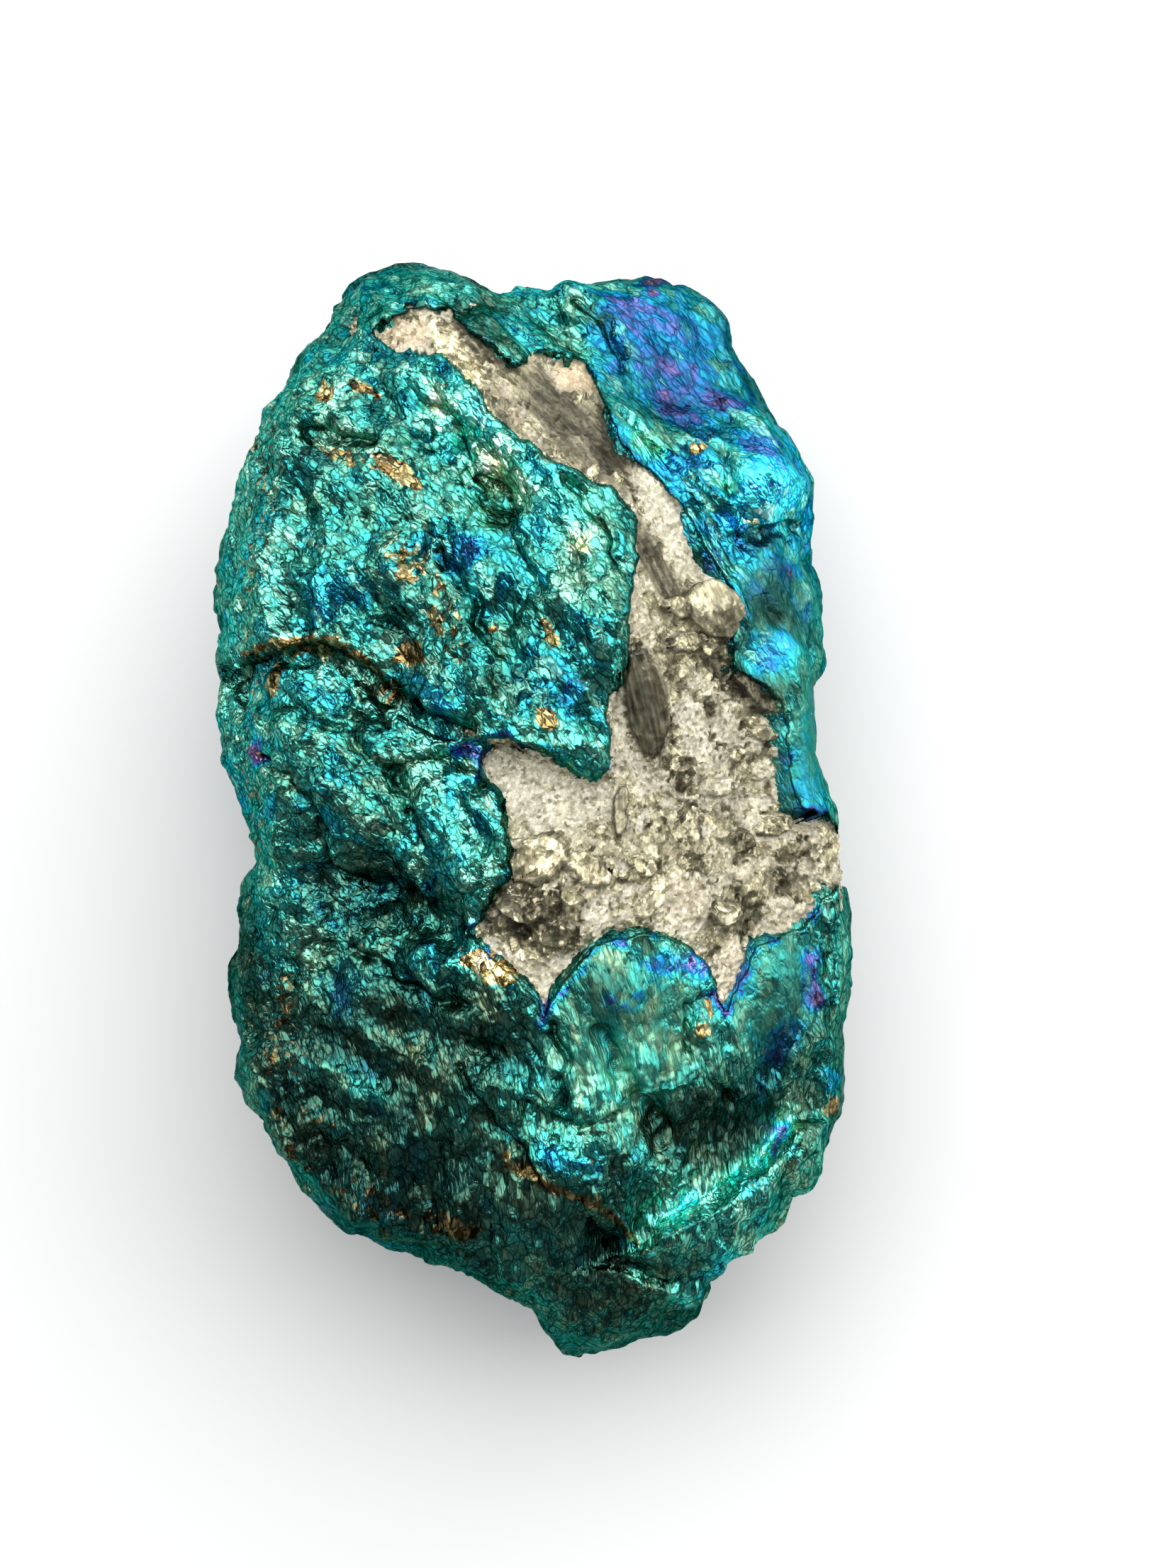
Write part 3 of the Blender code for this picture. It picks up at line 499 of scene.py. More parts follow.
# What the band is made of: centre, half-sizes, turn in degrees, then brass (0 pale mineral, 1 brassy), tone, how
# sleek and streaked it is, and how warm the pale mineral is.
BAND_PATCHES = (
    ((-8.3, 30.3), (1.9, 1.2), 0.0, 0.15, 0.95, 0.0, 0.8),
    ((-7.7, 31.0), (0.5, 0.4), 0.0, 1.0, 1.3, 0.0, 0.0),
    ((-5.6, 30.6), (0.6, 0.5), 0.0, 1.0, 1.4, 0.0, 0.0),
    ((-4.9, 28.7), (2.2, 0.9), -52.0, 1.0, 2.2, 0.0, 0.0),
    ((-3.5, 29.3), (2.4, 0.6), -45.0, 1.0, 0.4, 0.5, 0.0),
    ((-1.7, 25.3), (2.2, 0.8), -48.0, 0.45, 0.6, 0.0, 0.8),
    ((2.6, 24.2), (5.4, 1.9), -47.0, 1.0, 0.28, 0.6, 0.0),
    ((2.6, 27.3), (1.7, 1.0), -25.0, 0.1, 0.95, 0.0, 1.0),
    ((8.7, 18.3), (4.0, 1.1), -58.0, 0.0, 1.0, 0.0, 0.0),
    ((7.8, 15.6), (3.4, 0.9), -62.0, 1.0, 0.28, 0.8, 0.0),
    ((6.5, 12.8), (1.9, 0.45), -80.0, 0.05, 1.0, 0.0, 0.2),
    ((11.6, 15.5), (1.5, 0.8), -60.0, 0.1, 1.0, 0.0, 0.0),
    ((10.5, 10.6), (2.2, 1.2), -60.0, 0.95, 0.8, 0.0, 0.0),
    ((5.3, 5.0), (3.0, 0.5), 90.0, 0.02, 1.0, 0.0, 0.0),
    ((9.9, 5.6), (2.6, 0.9), -70.0, 0.1, 0.95, 0.0, 0.0),
    ((0.3, 1.6), (3.9, 1.9), -12.0, 0.0, 1.0, 0.0, 0.0),
    ((2.2, -0.3), (2.6, 1.6), 0.0, 0.02, 0.98, 0.0, 0.0),
    ((-0.3, -6.8), (3.0, 2.2), -20.0, 0.85, 0.95, 0.0, 0.0),
    ((4.5, -1.6), (1.6, 1.8), 0.0, 0.6, 0.75, 0.0, 0.3),
    ((8.5, -1.0), (2.4, 2.2), 0.0, 0.65, 0.8, 0.0, 0.0),
    ((9.6, -5.8), (1.6, 1.8), 0.0, 0.08, 0.95, 0.0, 0.3),
    ((12.6, -6.4), (1.6, 2.0), -20.0, 0.9, 0.75, 0.0, 0.0),
    ((12.1, -10.3), (2.6, 1.0), 80.0, 0.02, 1.1, 0.0, 0.4),
    ((15.6, -7.0), (2.0, 0.8), 20.0, 0.1, 0.85, 0.0, 0.4),
    ((-2.0, -9.6), (2.2, 0.9), -42.0, 0.0, 1.0, 0.0, 0.2),
    ((0.3, -11.4), (1.0, 1.2), 0.0, 0.0, 1.0, 0.0, 0.2),
    ((2.5, -9.6), (1.6, 0.9), 10.0, 0.05, 0.95, 0.0, 0.0),
    ((3.8, -6.3), (0.8, 0.9), 0.0, 0.05, 0.95, 0.0, 0.0),
    ((15.5, -4.3), (1.8, 0.9), 0.0, 0.7, 0.65, 0.0, 0.0),
    ((19.0, -2.4), (0.7, 0.9), 0.0, 1.0, 1.3, 0.0, 0.0),
    ((9.0, 9.2), (0.9, 2.6), 0.0, 0.85, 0.8, 0.0, 0.0),
    ((13.4, 7.7), (1.5, 1.0), -30.0, 0.95, 0.6, 0.0, 0.0),
    ((9.0, -1.8), (2.0, 1.6), -20.0, 0.95, 0.75, 0.3, 0.0),
    ((-0.4, -5.6), (2.6, 0.9), -8.0, 0.95, 0.7, 0.0, 0.0),
    ((-0.8, -7.2), (0.9, 0.7), 0.0, 0.9, 0.16, 0.0, 0.0),
)

# Grains that stand out of the band: centre, half-sizes, turn in degrees, rise, slopes along X and Y, then brass, tone
# and sleekness.
BAND_GRAINS = (
    ((7.0, 6.9), (3.3, 1.25), -82.0, 0.55, (0.10, 0.02), 1.0, 0.42, 1.0),
    ((5.4, 0.0), (1.6, 0.42), 86.0, 0.6, (0.2, 0.0), 1.0, 0.5, 0.9),
    ((11.0, 12.6), (1.9, 1.2), -40.0, 1.0, (0.15, 0.2), 1.0, 1.0, 0.6),
    ((0.3, -3.2), (1.6, 1.35), 15.0, 1.0, (0.1, 0.2), 0.9, 1.6, 0.5),
    ((3.2, -3.7), (1.5, 0.9), -25.0, 0.8, (-0.1, 0.25), 0.7, 1.3, 0.4),
    ((7.2, -5.4), (1.4, 0.6), 60.0, 0.8, (-0.2, 0.2), 1.0, 1.8, 0.6),
    ((6.6, -3.4), (0.9, 0.5), -30.0, 0.6, (0.1, 0.3), 1.0, 1.6, 0.3),
    ((11.9, -6.3), (0.8, 0.7), 20.0, 0.7, (-0.1, 0.2), 1.0, 1.9, 0.3),
    ((14.0, 7.5), (1.8, 0.7), -40.0, 0.5, (-0.1, -0.1), 1.0, 0.4, 0.6),
    ((3.6, 21.2), (0.35, 0.4), 0.0, 0.5, (0.0, 0.3), 1.0, 1.5, 0.0),
    ((5.2, 21.0), (0.3, 0.35), 0.0, 0.4, (0.0, 0.3), 1.0, 1.4, 0.0),
    ((2.7, 26.1), (0.4, 0.3), 0.0, 0.4, (0.0, 0.3), 1.0, 1.5, 0.0),
    ((14.3, 5.0), (1.0, 0.45), -15.0, 0.5, (0.0, 0.3), 1.0, 1.4, 0.2),
    ((12.7, 3.6), (0.45, 0.45), 0.0, 0.5, (0.1, 0.2), 1.0, 1.3, 0.0),
    ((9.0, 12.9), (0.8, 0.6), -30.0, 0.6, (-0.1, 0.3), 1.0, 1.2, 0.2),
    ((9.3, 10.7), (0.9, 0.6), 0.0, 0.6, (0.0, 0.2), 1.0, 1.0, 0.0),
    ((9.4, 2.2), (0.9, 0.5), 80.0, 0.6, (0.1, 0.0), 1.0, 0.5, 0.3),
    ((11.8, 1.6), (0.7, 0.5), 50.0, 0.6, (0.1, 0.2), 0.2, 1.1, 0.3),
    ((15.2, -0.8), (1.0, 0.6), 30.0, 0.6, (0.2, 0.2), 1.0, 1.2, 0.2),
    ((13.2, -1.8), (0.7, 0.7), 0.0, 0.5, (0.1, 0.1), 1.0, 0.6, 0.0),
    ((-0.9, -6.0), (1.2, 0.6), -30.0, 0.7, (0.1, 0.2), 1.0, 1.1, 0.3),
    ((1.5, -7.6), (1.0, 0.7), 20.0, 0.7, (0.0, 0.2), 1.0, 1.25, 0.1),
)

# How far a grain's corners are cut off, and how dark and wide the ring of painted shade round it is.
GRAIN_CORNER = 0.72
GRAIN_RING_SHADE = 0.55
GRAIN_RING_WIDTH = 0.12

# Regions of another surface: centre, half-sizes, turn in degrees, and how much of it they have.
PLATE_REGIONS = (
    ((6.0, -14.0), (4.6, 5.6), 0.0, 1.0),
    ((16.9, 3.6), (1.3, 4.6), 0.0, 1.0),
    ((14.8, -11.0), (2.6, 4.0), -20.0, 1.0),
    ((15.2, 12.0), (2.6, 5.4), 0.0, 0.9),
    ((9.4, 27.8), (5.6, 7.0), -35.0, 0.4),
    ((10.5, 22.0), (4.0, 3.4), -45.0, 0.3),
)
HAIR_REGIONS = (
    ((5.4, -14.5), (4.6, 6.2), 0.0, 1.0),
    ((-8.0, -19.0), (10.5, 8.5), -10.0, 1.0),
    ((3.0, -29.5), (8.0, 6.0), 0.0, 1.0),
    ((12.0, -18.5), (4.6, 5.0), 0.0, 1.0),
)

# The colours of the film from thin to thick, of pale flakes that are painted highlights, of the grey of deep painted
# shade, and of worn places.
FILM_STOPS = (
    (0.00, (0.12, 0.07, 0.04)),
    (0.08, (0.58, 0.42, 0.16)),
    (0.15, (0.52, 0.34, 0.22)),
    (0.22, (0.34, 0.20, 0.36)),
    (0.30, (0.22, 0.20, 0.56)),
    (0.38, (0.10, 0.22, 0.64)),
    (0.46, (0.03, 0.38, 0.84)),
    (0.55, (0.04, 0.54, 0.70)),
    (0.64, (0.07, 0.60, 0.53)),
    (0.76, (0.12, 0.56, 0.41)),
    (0.88, (0.36, 0.72, 0.46)),
    (1.00, (0.62, 0.78, 0.34)),
)
PAINTED_HIGHLIGHT_FLAKE = (0.42, 0.95, 0.74)
PAINTED_SHADE_GREY = (0.40, 0.36, 0.28)
WORN_STOPS = (
    (0.0, (0.08, 0.06, 0.03)),
    (0.25, (0.30, 0.20, 0.08)),
    (0.5, (0.66, 0.49, 0.18)),
    (1.0, (0.95, 0.82, 0.42)),
)

# The colours of the band: the pale mineral and its warm parts, the brassy grains, and their streaks.
PALE_STOPS = (
    (0.0, (0.18, 0.165, 0.10)),
    (0.22, (0.49, 0.45, 0.31)),
    (0.6, (0.78, 0.73, 0.56)),
    (1.0, (0.98, 0.93, 0.78)),
)
WARM_TINT = (0.95, 0.80, 0.68)
GOLD_STOPS = (
    (0.0, (0.09, 0.075, 0.045)),
    (0.3, (0.30, 0.265, 0.155)),
    (0.6, (0.60, 0.54, 0.34)),
    (1.0, (1.0, 0.95, 0.68)),
)
STREAK_STOPS = (
    (0.34, (0.14, 0.125, 0.07)),
    (0.52, (0.46, 0.41, 0.26)),
    (0.68, (0.88, 0.81, 0.58)),
)


def smooth_step(low, high, value):
    """0 below low, 1 above high, and the curve 3t^2 - 2t^3 between them."""
    t = np.clip((value - low) / (high - low), 0.0, 1.0)
    return t * t * (3.0 - 2.0 * t)


def bell(distance, width, power=2):
    """exp(-(distance / width)^power): 1 in the middle, and flatter on top with a higher power."""
    return np.exp(-((distance / width) ** power))


def hashed(cells, seed):
    """Three numbers from 0 to 1 for each whole-number cell, always the same for the same cell and seed."""
    mixed = cells.astype(np.int64) @ np.array((73856093, 19349663, 83492791), np.int64) + seed * 2654435761
    numbers = []
    for turn in range(3):
        mixed = (mixed ^ (mixed >> 15)) * (2246822519 + 2 * turn) & 0xFFFFFFFF
        mixed = (mixed ^ (mixed >> 13)) * 3266489917 & 0xFFFFFFFF
        mixed ^= mixed >> 16
        numbers.append(mixed / 0xFFFFFFFF)
    return np.stack(numbers, -1)


def noise(points, size, seed):
    """Gradient noise from about -1 to 1: the eight corners of each cell of this size pull along random directions."""
    scaled = points / size
    cell = np.floor(scaled)
    offset = scaled - cell
    fade = offset**3 * (offset * (offset * 6.0 - 15.0) + 10.0)
    total = np.zeros(len(points))
    for corner in np.ndindex(2, 2, 2):
        pull = hashed(cell + corner, seed) * 2.0 - 1.0
        weight = np.prod(np.where(corner, fade, 1.0 - fade), axis=1)
        total += weight * np.einsum("ij,ij->i", pull, offset - corner)
    return total * NOISE_GAIN


def wave_at(points, name):
    """Gradient noise of the size, strength and seed that WAVES has under this name."""
    size, strength, seed = WAVES[name]
    return strength * noise(points, size, SEED + seed)


def sway_at(points, name, axes=2):
    """A shift along each axis by gradient noise of its own, of the size, reach and seed that SWAYS has."""
    size, reach, seed = SWAYS[name]
    return reach * np.stack([noise(points, size, SEED + seed + axis) for axis in range(axes)], -1)


def nearest_chip(points, size, seed, flat_sided):
    """How far each point is from the nearest random seed point, as a share of size, less the usual value."""
    return chip_and_value(points, size, seed, flat_sided)[0]


def chip_and_value(points, size, seed, flat_sided):
    """The distance to the nearest random seed point, as above, and three numbers from -0.5 to 0.5 of that seed's own.

    Flat-sided distances are the largest of three slanted coordinates, so that the creases enclose flat facets.
    Otherwise it is the square of the plain distance, so that they enclose rounded lumps.
    """
    scaled = points / size
    cell = np.floor(scaled)
    nearest = np.full(len(points), np.inf)
    value = np.zeros((len(points), 3))
    for step in np.ndindex(3, 3, 3):
        neighbour = cell + step - 1.0
        shift = hashed(neighbour, seed)
        away = scaled - neighbour - shift
        if flat_sided:
            slants = [axis + hashed(neighbour, seed + turn + 1) - 0.5 for turn, axis in enumerate(np.eye(3))]
            distance = np.max([np.abs(np.einsum("ij,ij->i", slant, away)) for slant in slants], axis=0)
        else:
            distance = np.einsum("ij,ij->i", away, away)
        value = np.where((distance < nearest)[:, None], (shift * 7.0) % 1.0 - 0.5, value)
        nearest = np.minimum(nearest, distance)
    return nearest - (USUAL_FLAT if flat_sided else USUAL_ROUND), value


def distance_to_line(points, line, closed=False):
    """Distance from each (x, y) to the nearest stretch of a line, and which side it is on: 1 left of it, -1 right."""
    corners = np.array(line, float)
    starts = corners if closed else corners[:-1]
    ends = np.roll(corners, -1, axis=0) if closed else corners[1:]
    nearest = np.full(len(points), np.inf)
    side = np.ones(len(points))
    for start, end in zip(starts, ends):
        along = end - start
        share = np.clip((points - start) @ along / (along @ along), 0.0, 1.0)
        away = points - start - share[:, None] * along
        distance = np.hypot(away[:, 0], away[:, 1])
        turn = along[0] * (points[:, 1] - start[1]) - along[1] * (points[:, 0] - start[0])
        closer = distance < nearest
        nearest = np.where(closer, distance, nearest)
        side = np.where(closer, np.sign(turn), side)
    return nearest, side


def inside_outline(points, outline):
    """True where a ray to the right of the point crosses the closed outline an odd number of times."""
    x, y = points.T
    inside = np.zeros(len(points), bool)
    corners = np.array(outline, float)
    for (x0, y0), (x1, y1) in zip(corners, np.roll(corners, -1, axis=0)):
        if y0 != y1:
            crossing = x0 + (y - y0) * (x1 - x0) / (y1 - y0)
            inside ^= ((y0 > y) != (y1 > y)) & (x < crossing)
    return inside


def turned_away(points, centre, half_sizes, turn):
    """How far each (x, y) is along and across an oval turned by these degrees, as shares of its half-sizes."""
    cos, sin = np.cos(np.radians(turn)), np.sin(np.radians(turn))
    away = points - centre
    along = (away[:, 0] * cos + away[:, 1] * sin) / half_sizes[0]
    across = (away[:, 1] * cos - away[:, 0] * sin) / half_sizes[1]
    return along, across


def oval_reach(points, centre, half_sizes, turn):
    """How far each (x, y) is from an oval's centre, as a share of the way to its edge."""
    return np.hypot(*turned_away(points, centre, half_sizes, turn))


def grain_reach(points, centre, half_sizes, turn):
    """How far each (x, y) is from a block-like grain's centre, as a share of the way to its squarish edge."""
    along, across = np.abs(turned_away(points, centre, half_sizes, turn))
    return np.maximum(np.maximum(along, across), (along + across) * GRAIN_CORNER)


def patched(field, flat, patches, fade=1.0):
    """The field with each patch's value laid over it inside the patch's soft-edged oval, by its share."""
    for centre, half_sizes, turn, value, share in patches:
        inside = bell(oval_reach(flat, centre, half_sizes, turn), 1.0, 4)
        field = field + (value - field) * share * fade * inside
    return field


def lined(field, flat, lines, fade=1.0):
    """The field with each line's value laid over it in a bell across the line, by its share."""
    for line, half_width, value, share in lines:
        distance, _ = distance_to_line(flat, line)
        field = field + (value - field) * share * fade * bell(distance, half_width)
    return field


def region_share(points, regions):
    """How far each point belongs to any of the soft-edged ovals, from 0 to 1."""
    flat = as_seen(points)
    return np.max([share * bell(oval_reach(flat, *place), 1.0, 4) for *place, share in regions], axis=0)


def outline_radius(angle):
    """Distance from the middle to the outline at each angle, straight between the outline's points."""
    corners = np.array(OUTLINE, float)
    at = np.arctan2(corners[:, 1], corners[:, 0])
    order = np.argsort(at)
    return np.interp(angle, at[order], np.hypot(*corners[order].T), period=2.0 * np.pi)


def lowest_of(planes, softness):
    """The lowest plane at each point, with the edges between planes rounded over about this softness."""
    stacked = np.array(planes)
    lowest = stacked.min(axis=0)
    return lowest - softness * np.log(np.exp((lowest - stacked) / softness).sum(axis=0))


def faces_at(points, faces):
    """The height of each broken face's plane: its own height plus its two slopes times the way from its point."""
    x, y = points.T
    return [height + along_x * (x - at[0]) + along_y * (y - at[1]) for at, height, along_x, along_y in faces.values()]


def ledges_at(points):
    """Each ledge drops the ground on the right of its line, and lets it climb back over the given way."""
    total = np.zeros(len(points))
    for line, drop, ramp, way_back in LEDGES.values():
        distance, side = distance_to_line(points, line)
        fall = drop * bell(distance, way_back) * smooth_step(0.0, ramp, distance)
        total -= np.where(side < 0.0, fall, 0.0)
    return total


def ridges_at(points):
    """Each ridge is a bell, exp(-(distance / half width)^2), across its line."""
    total = np.zeros(len(points))
    for line, half_width, rise in RIDGES.values():
        distance, _ = distance_to_line(points, line)
        total += rise * bell(distance, half_width)
    return total


def bosses_at(points):
    """Each boss is a bell, exp(-r^2), stretched and turned in the plane of the front."""
    total = np.zeros(len(points))
    for centre, half_sizes, turn, rise in BOSSES.values():
        total += rise * bell(oval_reach(points, centre, half_sizes, turn), 1.0)
    return total


def creases_at(points):
    """Each crease is a narrow trough, -fall exp(-(distance / half width)^2), along its slightly swaying line."""
    flat = points[:, :2] + sway_at(points, "creases")
    total = np.zeros(len(points))
    for line, half_width, fall in CREASES:
        distance, _ = distance_to_line(flat, line)
        total -= fall * bell(distance, half_width)
    return total


def plan_of(directions):
    """Where each unit direction meets the lump, seen from the front, and its reach from the Z axis.

    It is at the direction's angle, and at the outline's radius times the reach. The outline is used as measured near
    the rim, and smoothed away from it.
    """
    reach = np.minimum(np.hypot(directions[:, 0], directions[:, 1]), 1.0)
    angle = np.arctan2(directions[:, 1] * HALF_LENGTH, directions[:, 0] * HALF_WIDTH)
    smoothed = np.mean([outline_radius(angle + turn) for turn in np.radians(SMOOTHING_TURNS)], axis=0)
    near_rim = bell(directions[:, 2], NEAR_RIM)
    radius = reach * (smoothed + near_rim * (outline_radius(angle) - smoothed))
    return np.stack((radius * np.cos(angle), radius * np.sin(angle)), -1), reach


def lump_points(directions):
    """Each unit direction from the middle becomes a point of the lump.

    Its place is as plan_of gives it, and its height is the lowest broken face there, rounded off towards the rim,
    with the ledges, ridges and bosses of the front added.
    """
    flat, reach = plan_of(directions)
    front_dome = FRONT_RISE * (1.0 - reach**FRONT_FULLNESS) ** (1.0 / FRONT_FULLNESS)
    back_dome = BACK_DEPTH * (1.0 - reach**BACK_FULLNESS) ** (1.0 / BACK_FULLNESS)
    front = lowest_of([front_dome, *faces_at(flat, FRONT_FACES)], ARRIS_SOFTNESS)
    back = lowest_of([back_dome, *faces_at(flat, BACK_FACES)], ARRIS_SOFTNESS)
    facing = smooth_step(0.0, FRONT_FADE, directions[:, 2])
    front += facing * (ledges_at(flat) + ridges_at(flat) + bosses_at(flat))
    return np.column_stack((flat, RIM_HEIGHT + np.where(directions[:, 2] >= 0.0, front, -back)))


def as_seen(points):
    """Where each point shows in the photograph's frame, in millimetres of the rim's plane.

    The places in the lists above were read there. Higher points show further from the middle of the frame.
    """
    nearer = (CAMERA_HEIGHT - RIM_HEIGHT) / (CAMERA_HEIGHT - points[:, 2:])
    return FRAME_MIDDLE + (points[:, :2] - FRAME_MIDDLE) * nearer


def sight_at(points):
    """The unit direction from the camera to each point."""
    away = points - (*FRAME_MIDDLE, CAMERA_HEIGHT)
    return away / np.linalg.norm(away, axis=1, keepdims=True)


def inward_at(points, normals, directions):
    """The way in which the skin and the band sink: along the line of sight, but square to the wall under the rim."""
    sight = sight_at(points)
    facing = -(sight * normals).sum(axis=1)
    wall = smooth_step(*WALL_FACING, facing) * smooth_step(*WALL_HEIGHT, directions[:, 2])
    inward = sight - wall[:, None] * (normals + sight)
    return inward / np.linalg.norm(inward, axis=1, keepdims=True)


def along_grain(points):
    """The points in coordinates that run across, along and through the grain, which bends round a far centre."""
    away = points[:, :2] - GRAIN_CENTRE
    radius = np.hypot(away[:, 0], away[:, 1])
    along = np.arctan2(away[:, 1], away[:, 0]) * np.hypot(*GRAIN_CENTRE)
    return np.column_stack((radius, along, points[:, 2]))


def along_flow(points):
    """The points in coordinates across, along and through the band, whose upper part bends away to the left."""
    bend = FLOW_BEND * np.maximum(points[:, 1], 0.0) ** 2
    return np.column_stack((points[:, 0] + bend, points[:, 1:]))


def band_edge(points, directions):
    """How far inside the pale band's ragged edge each point is; less than 0 outside it.

    From the front it is the distance to the BAND line as the camera sees it. Over the right side the band runs on as
    a tongue, which narrows to nothing on its way down the wall.
    """
    flat = as_seen(points) + sway_at(points, "band_edge")
    edge, _ = distance_to_line(flat, BAND, closed=True)
    edge = np.where(inside_outline(flat, BAND), edge, -edge)
    right, height = directions[:, 0], directions[:, 2]
    tongue = TONGUE_WIDTH * smooth_step(*TONGUE_NARROWS, height) - TONGUE_CUT + wave_at(points, "tongue")
    tongue = np.where(right > TONGUE_SIDE, tongue - np.abs(flat[:, 1] - TONGUE_MIDDLE), -OFF_TONGUE)
    return np.minimum(edge, tongue + TONGUE_WIDENING * smooth_step(*TONGUE_WIDENS, height))


def broken_push(points, directions):
    """How far the lump's surface stands out at each point: lumps, which are lower at the rim, and chips."""
    grain = along_grain(points) / (1.0, GRAIN_STRETCH, 1.0)
    size, rise, seed = LUMPS
    push = -rise * nearest_chip(points, size, SEED + seed, flat_sided=False)
    push *= 1.0 - LUMP_LOSS * bell(directions[:, 2], LUMP_LOSS_REACH)
    for size, rise, seed in CHIPS:
        push += rise * nearest_chip(grain, size, SEED + seed, flat_sided=True)
    return push + wave_at(points, "lump")


def fine_push(points, grain):
    """Relief finer than the solid's, and how each facet leans: facets, crinkles, and crests.

    The crests stand where a stretched noise crosses zero. A facet's lean is the sum of its chips' own numbers.
    """
    stretched = grain / CHIP_STRETCH + sway_at(points, "facets", axes=3)
    fine = wave_at(stretched, "crinkle")
    facet = np.zeros((len(points), 3))
    for size, rise, lean, seed in FINE_CHIPS:
        chip, value = chip_and_value(stretched, size, SEED + seed, flat_sided=True)
        fine += rise * chip
        facet += lean * value
    sizes, rise, seed = CRESTS
    waving = (grain + sway_at(points, "crests", axes=3)) / sizes
    crest = 1.0 - np.minimum(np.abs(noise(waving, 1.0, SEED + seed)) * CREST_SHARPNESS, 1.0)
    return fine + rise * (crest - 0.5), facet


def levelled(points, push, relief):
    """The push and the relief once each flat has taken some roughness out and tipped the surface by its slopes."""
    seen = as_seen(points)
    for centre, half_sizes, turn, slopes, share in FLATS:
        inside = bell(oval_reach(seen, centre, half_sizes, turn), 1.0, 6)
        push = push * (1.0 - FLAT_PUSH_SHARE * share * inside) + inside * ((seen - centre) @ slopes)
        relief = relief * (1.0 - share * inside)
    return push, relief


def box_surface(counts):
    """Points from -1 to 1 all over a box whose edges are cut into these many lengths, and its outward quads."""
    places, quads, start = [], [], 0
    for axis in range(3):
        first, second = (other for other in range(3) if other != axis)
        i, j = np.meshgrid(np.arange(counts[first] + 1), np.arange(counts[second] + 1), indexing="ij")
        for side in (0, counts[axis]):
            place = np.zeros((i.size, 3), int)
            place[:, first], place[:, second], place[:, axis] = i.ravel(), j.ravel(), side
            index = start + np.arange(i.size).reshape(i.shape)
            corners = (index[:-1, :-1], index[1:, :-1], index[1:, 1:], index[:-1, 1:])
            outward = (side > 0) != (axis == 1)
            quads.append(np.stack(corners if outward else corners[::-1], -1).reshape(-1, 4))
            places.append(place)
            start += i.size
    places, index = np.unique(np.concatenate(places), axis=0, return_inverse=True)
    return places * 2.0 / counts - 1.0, index.ravel()[np.concatenate(quads)]


def sphere_directions(corners):
    """A box's points spread over the unit sphere: x sqrt(1 - y^2/2 - z^2/2 + y^2 z^2/3), and so on for y and z."""
    x2, y2, z2 = (corners**2).T
    stretch = (
        1.0 - y2 / 2.0 - z2 / 2.0 + y2 * z2 / 3.0,
        1.0 - z2 / 2.0 - x2 / 2.0 + z2 * x2 / 3.0,
        1.0 - x2 / 2.0 - y2 / 2.0 + x2 * y2 / 3.0,
    )
    return corners * np.sqrt(np.stack(stretch, -1))


def kept_quads(quads, kept=None):
    """The quads whose corners are all kept, numbered anew, and the old numbers of the points that they use."""
    if kept is not None:
        quads = quads[kept[quads].all(axis=1)]
    used, index = np.unique(quads, return_inverse=True)
    return index.reshape(-1, 4), used


def vertex_normals(points, quads):
    """The unit normal at each point: the sum of its quads' crossed diagonals, made one long."""
    crossed = np.cross(points[quads[:, 2]] - points[quads[:, 0]], points[quads[:, 3]] - points[quads[:, 1]])
    total = np.zeros_like(points)
    for corner in range(4):
        np.add.at(total, quads[:, corner], crossed)
    return total / np.maximum(np.linalg.norm(total, axis=1, keepdims=True), 1e-9)


def make_piece(name, points, quads, fan, shading, material, values, vectors):
    """A mesh object from points in millimetres, its quads and the triangles that close it, shaded by its normals."""
    corners = np.concatenate((quads.ravel(), fan.ravel()))
    sizes = np.repeat((4, 3), (len(quads), len(fan)))
    mesh = bpy.data.meshes.new(name)
    mesh.vertices.add(len(points))
    mesh.vertices.foreach_set("co", ((points - (*CENTRE, 0.0)) * METRES_PER_MM).astype(np.float32).ravel())
    mesh.loops.add(len(corners))
    mesh.loops.foreach_set("vertex_index", corners.astype(np.int32))
    mesh.polygons.add(len(sizes))
    mesh.polygons.foreach_set("loop_start", (np.cumsum(sizes) - sizes).astype(np.int32))
    mesh.polygons.foreach_set("use_smooth", np.ones(len(sizes), bool))
    for label, value in values.items():
        mesh.attributes.new(label, "FLOAT", "POINT").data.foreach_set("value", value.astype(np.float32))
    for label, value in vectors.items():
        layer = mesh.attributes.new(label, "FLOAT_VECTOR", "POINT")
        layer.data.foreach_set("vector", value.astype(np.float32).ravel())
    mesh.update(calc_edges=True)
    mesh.validate()
    mesh.normals_split_custom_set_from_vertices(shading)
    mesh.materials.append(material)
    piece = bpy.data.objects.new(name, mesh)
    bpy.context.scene.collection.objects.link(piece)
    return piece


def closed_piece(name, points, quads, apex, shading, material, values, vectors):
    """A piece from part of a surface, closed by a fan of triangles from its open edges to one point in the lump."""
    quads, used = kept_quads(quads)
    count = len(used)
    edges = np.stack((quads, np.roll(quads, -1, axis=1)), -1).reshape(-1, 2)
    rim = edges[~np.isin(edges[:, 0] * count + edges[:, 1], edges[:, 1] * count + edges[:, 0])]
    fan = np.column_stack((rim[:, 1], rim[:, 0], np.full(len(rim), count)))
    points = np.vstack((points[used], apex))
    shading = np.vstack((shading[used], (0.0, 0.0, -1.0)))
    values = {label: np.append(value[used], 0.0) for label, value in values.items()}
    vectors = {label: np.vstack((value[used], (0.0, 0.0, 0.0))) for label, value in vectors.items()}
    return make_piece(name, points, quads, fan, shading, material, values, vectors)


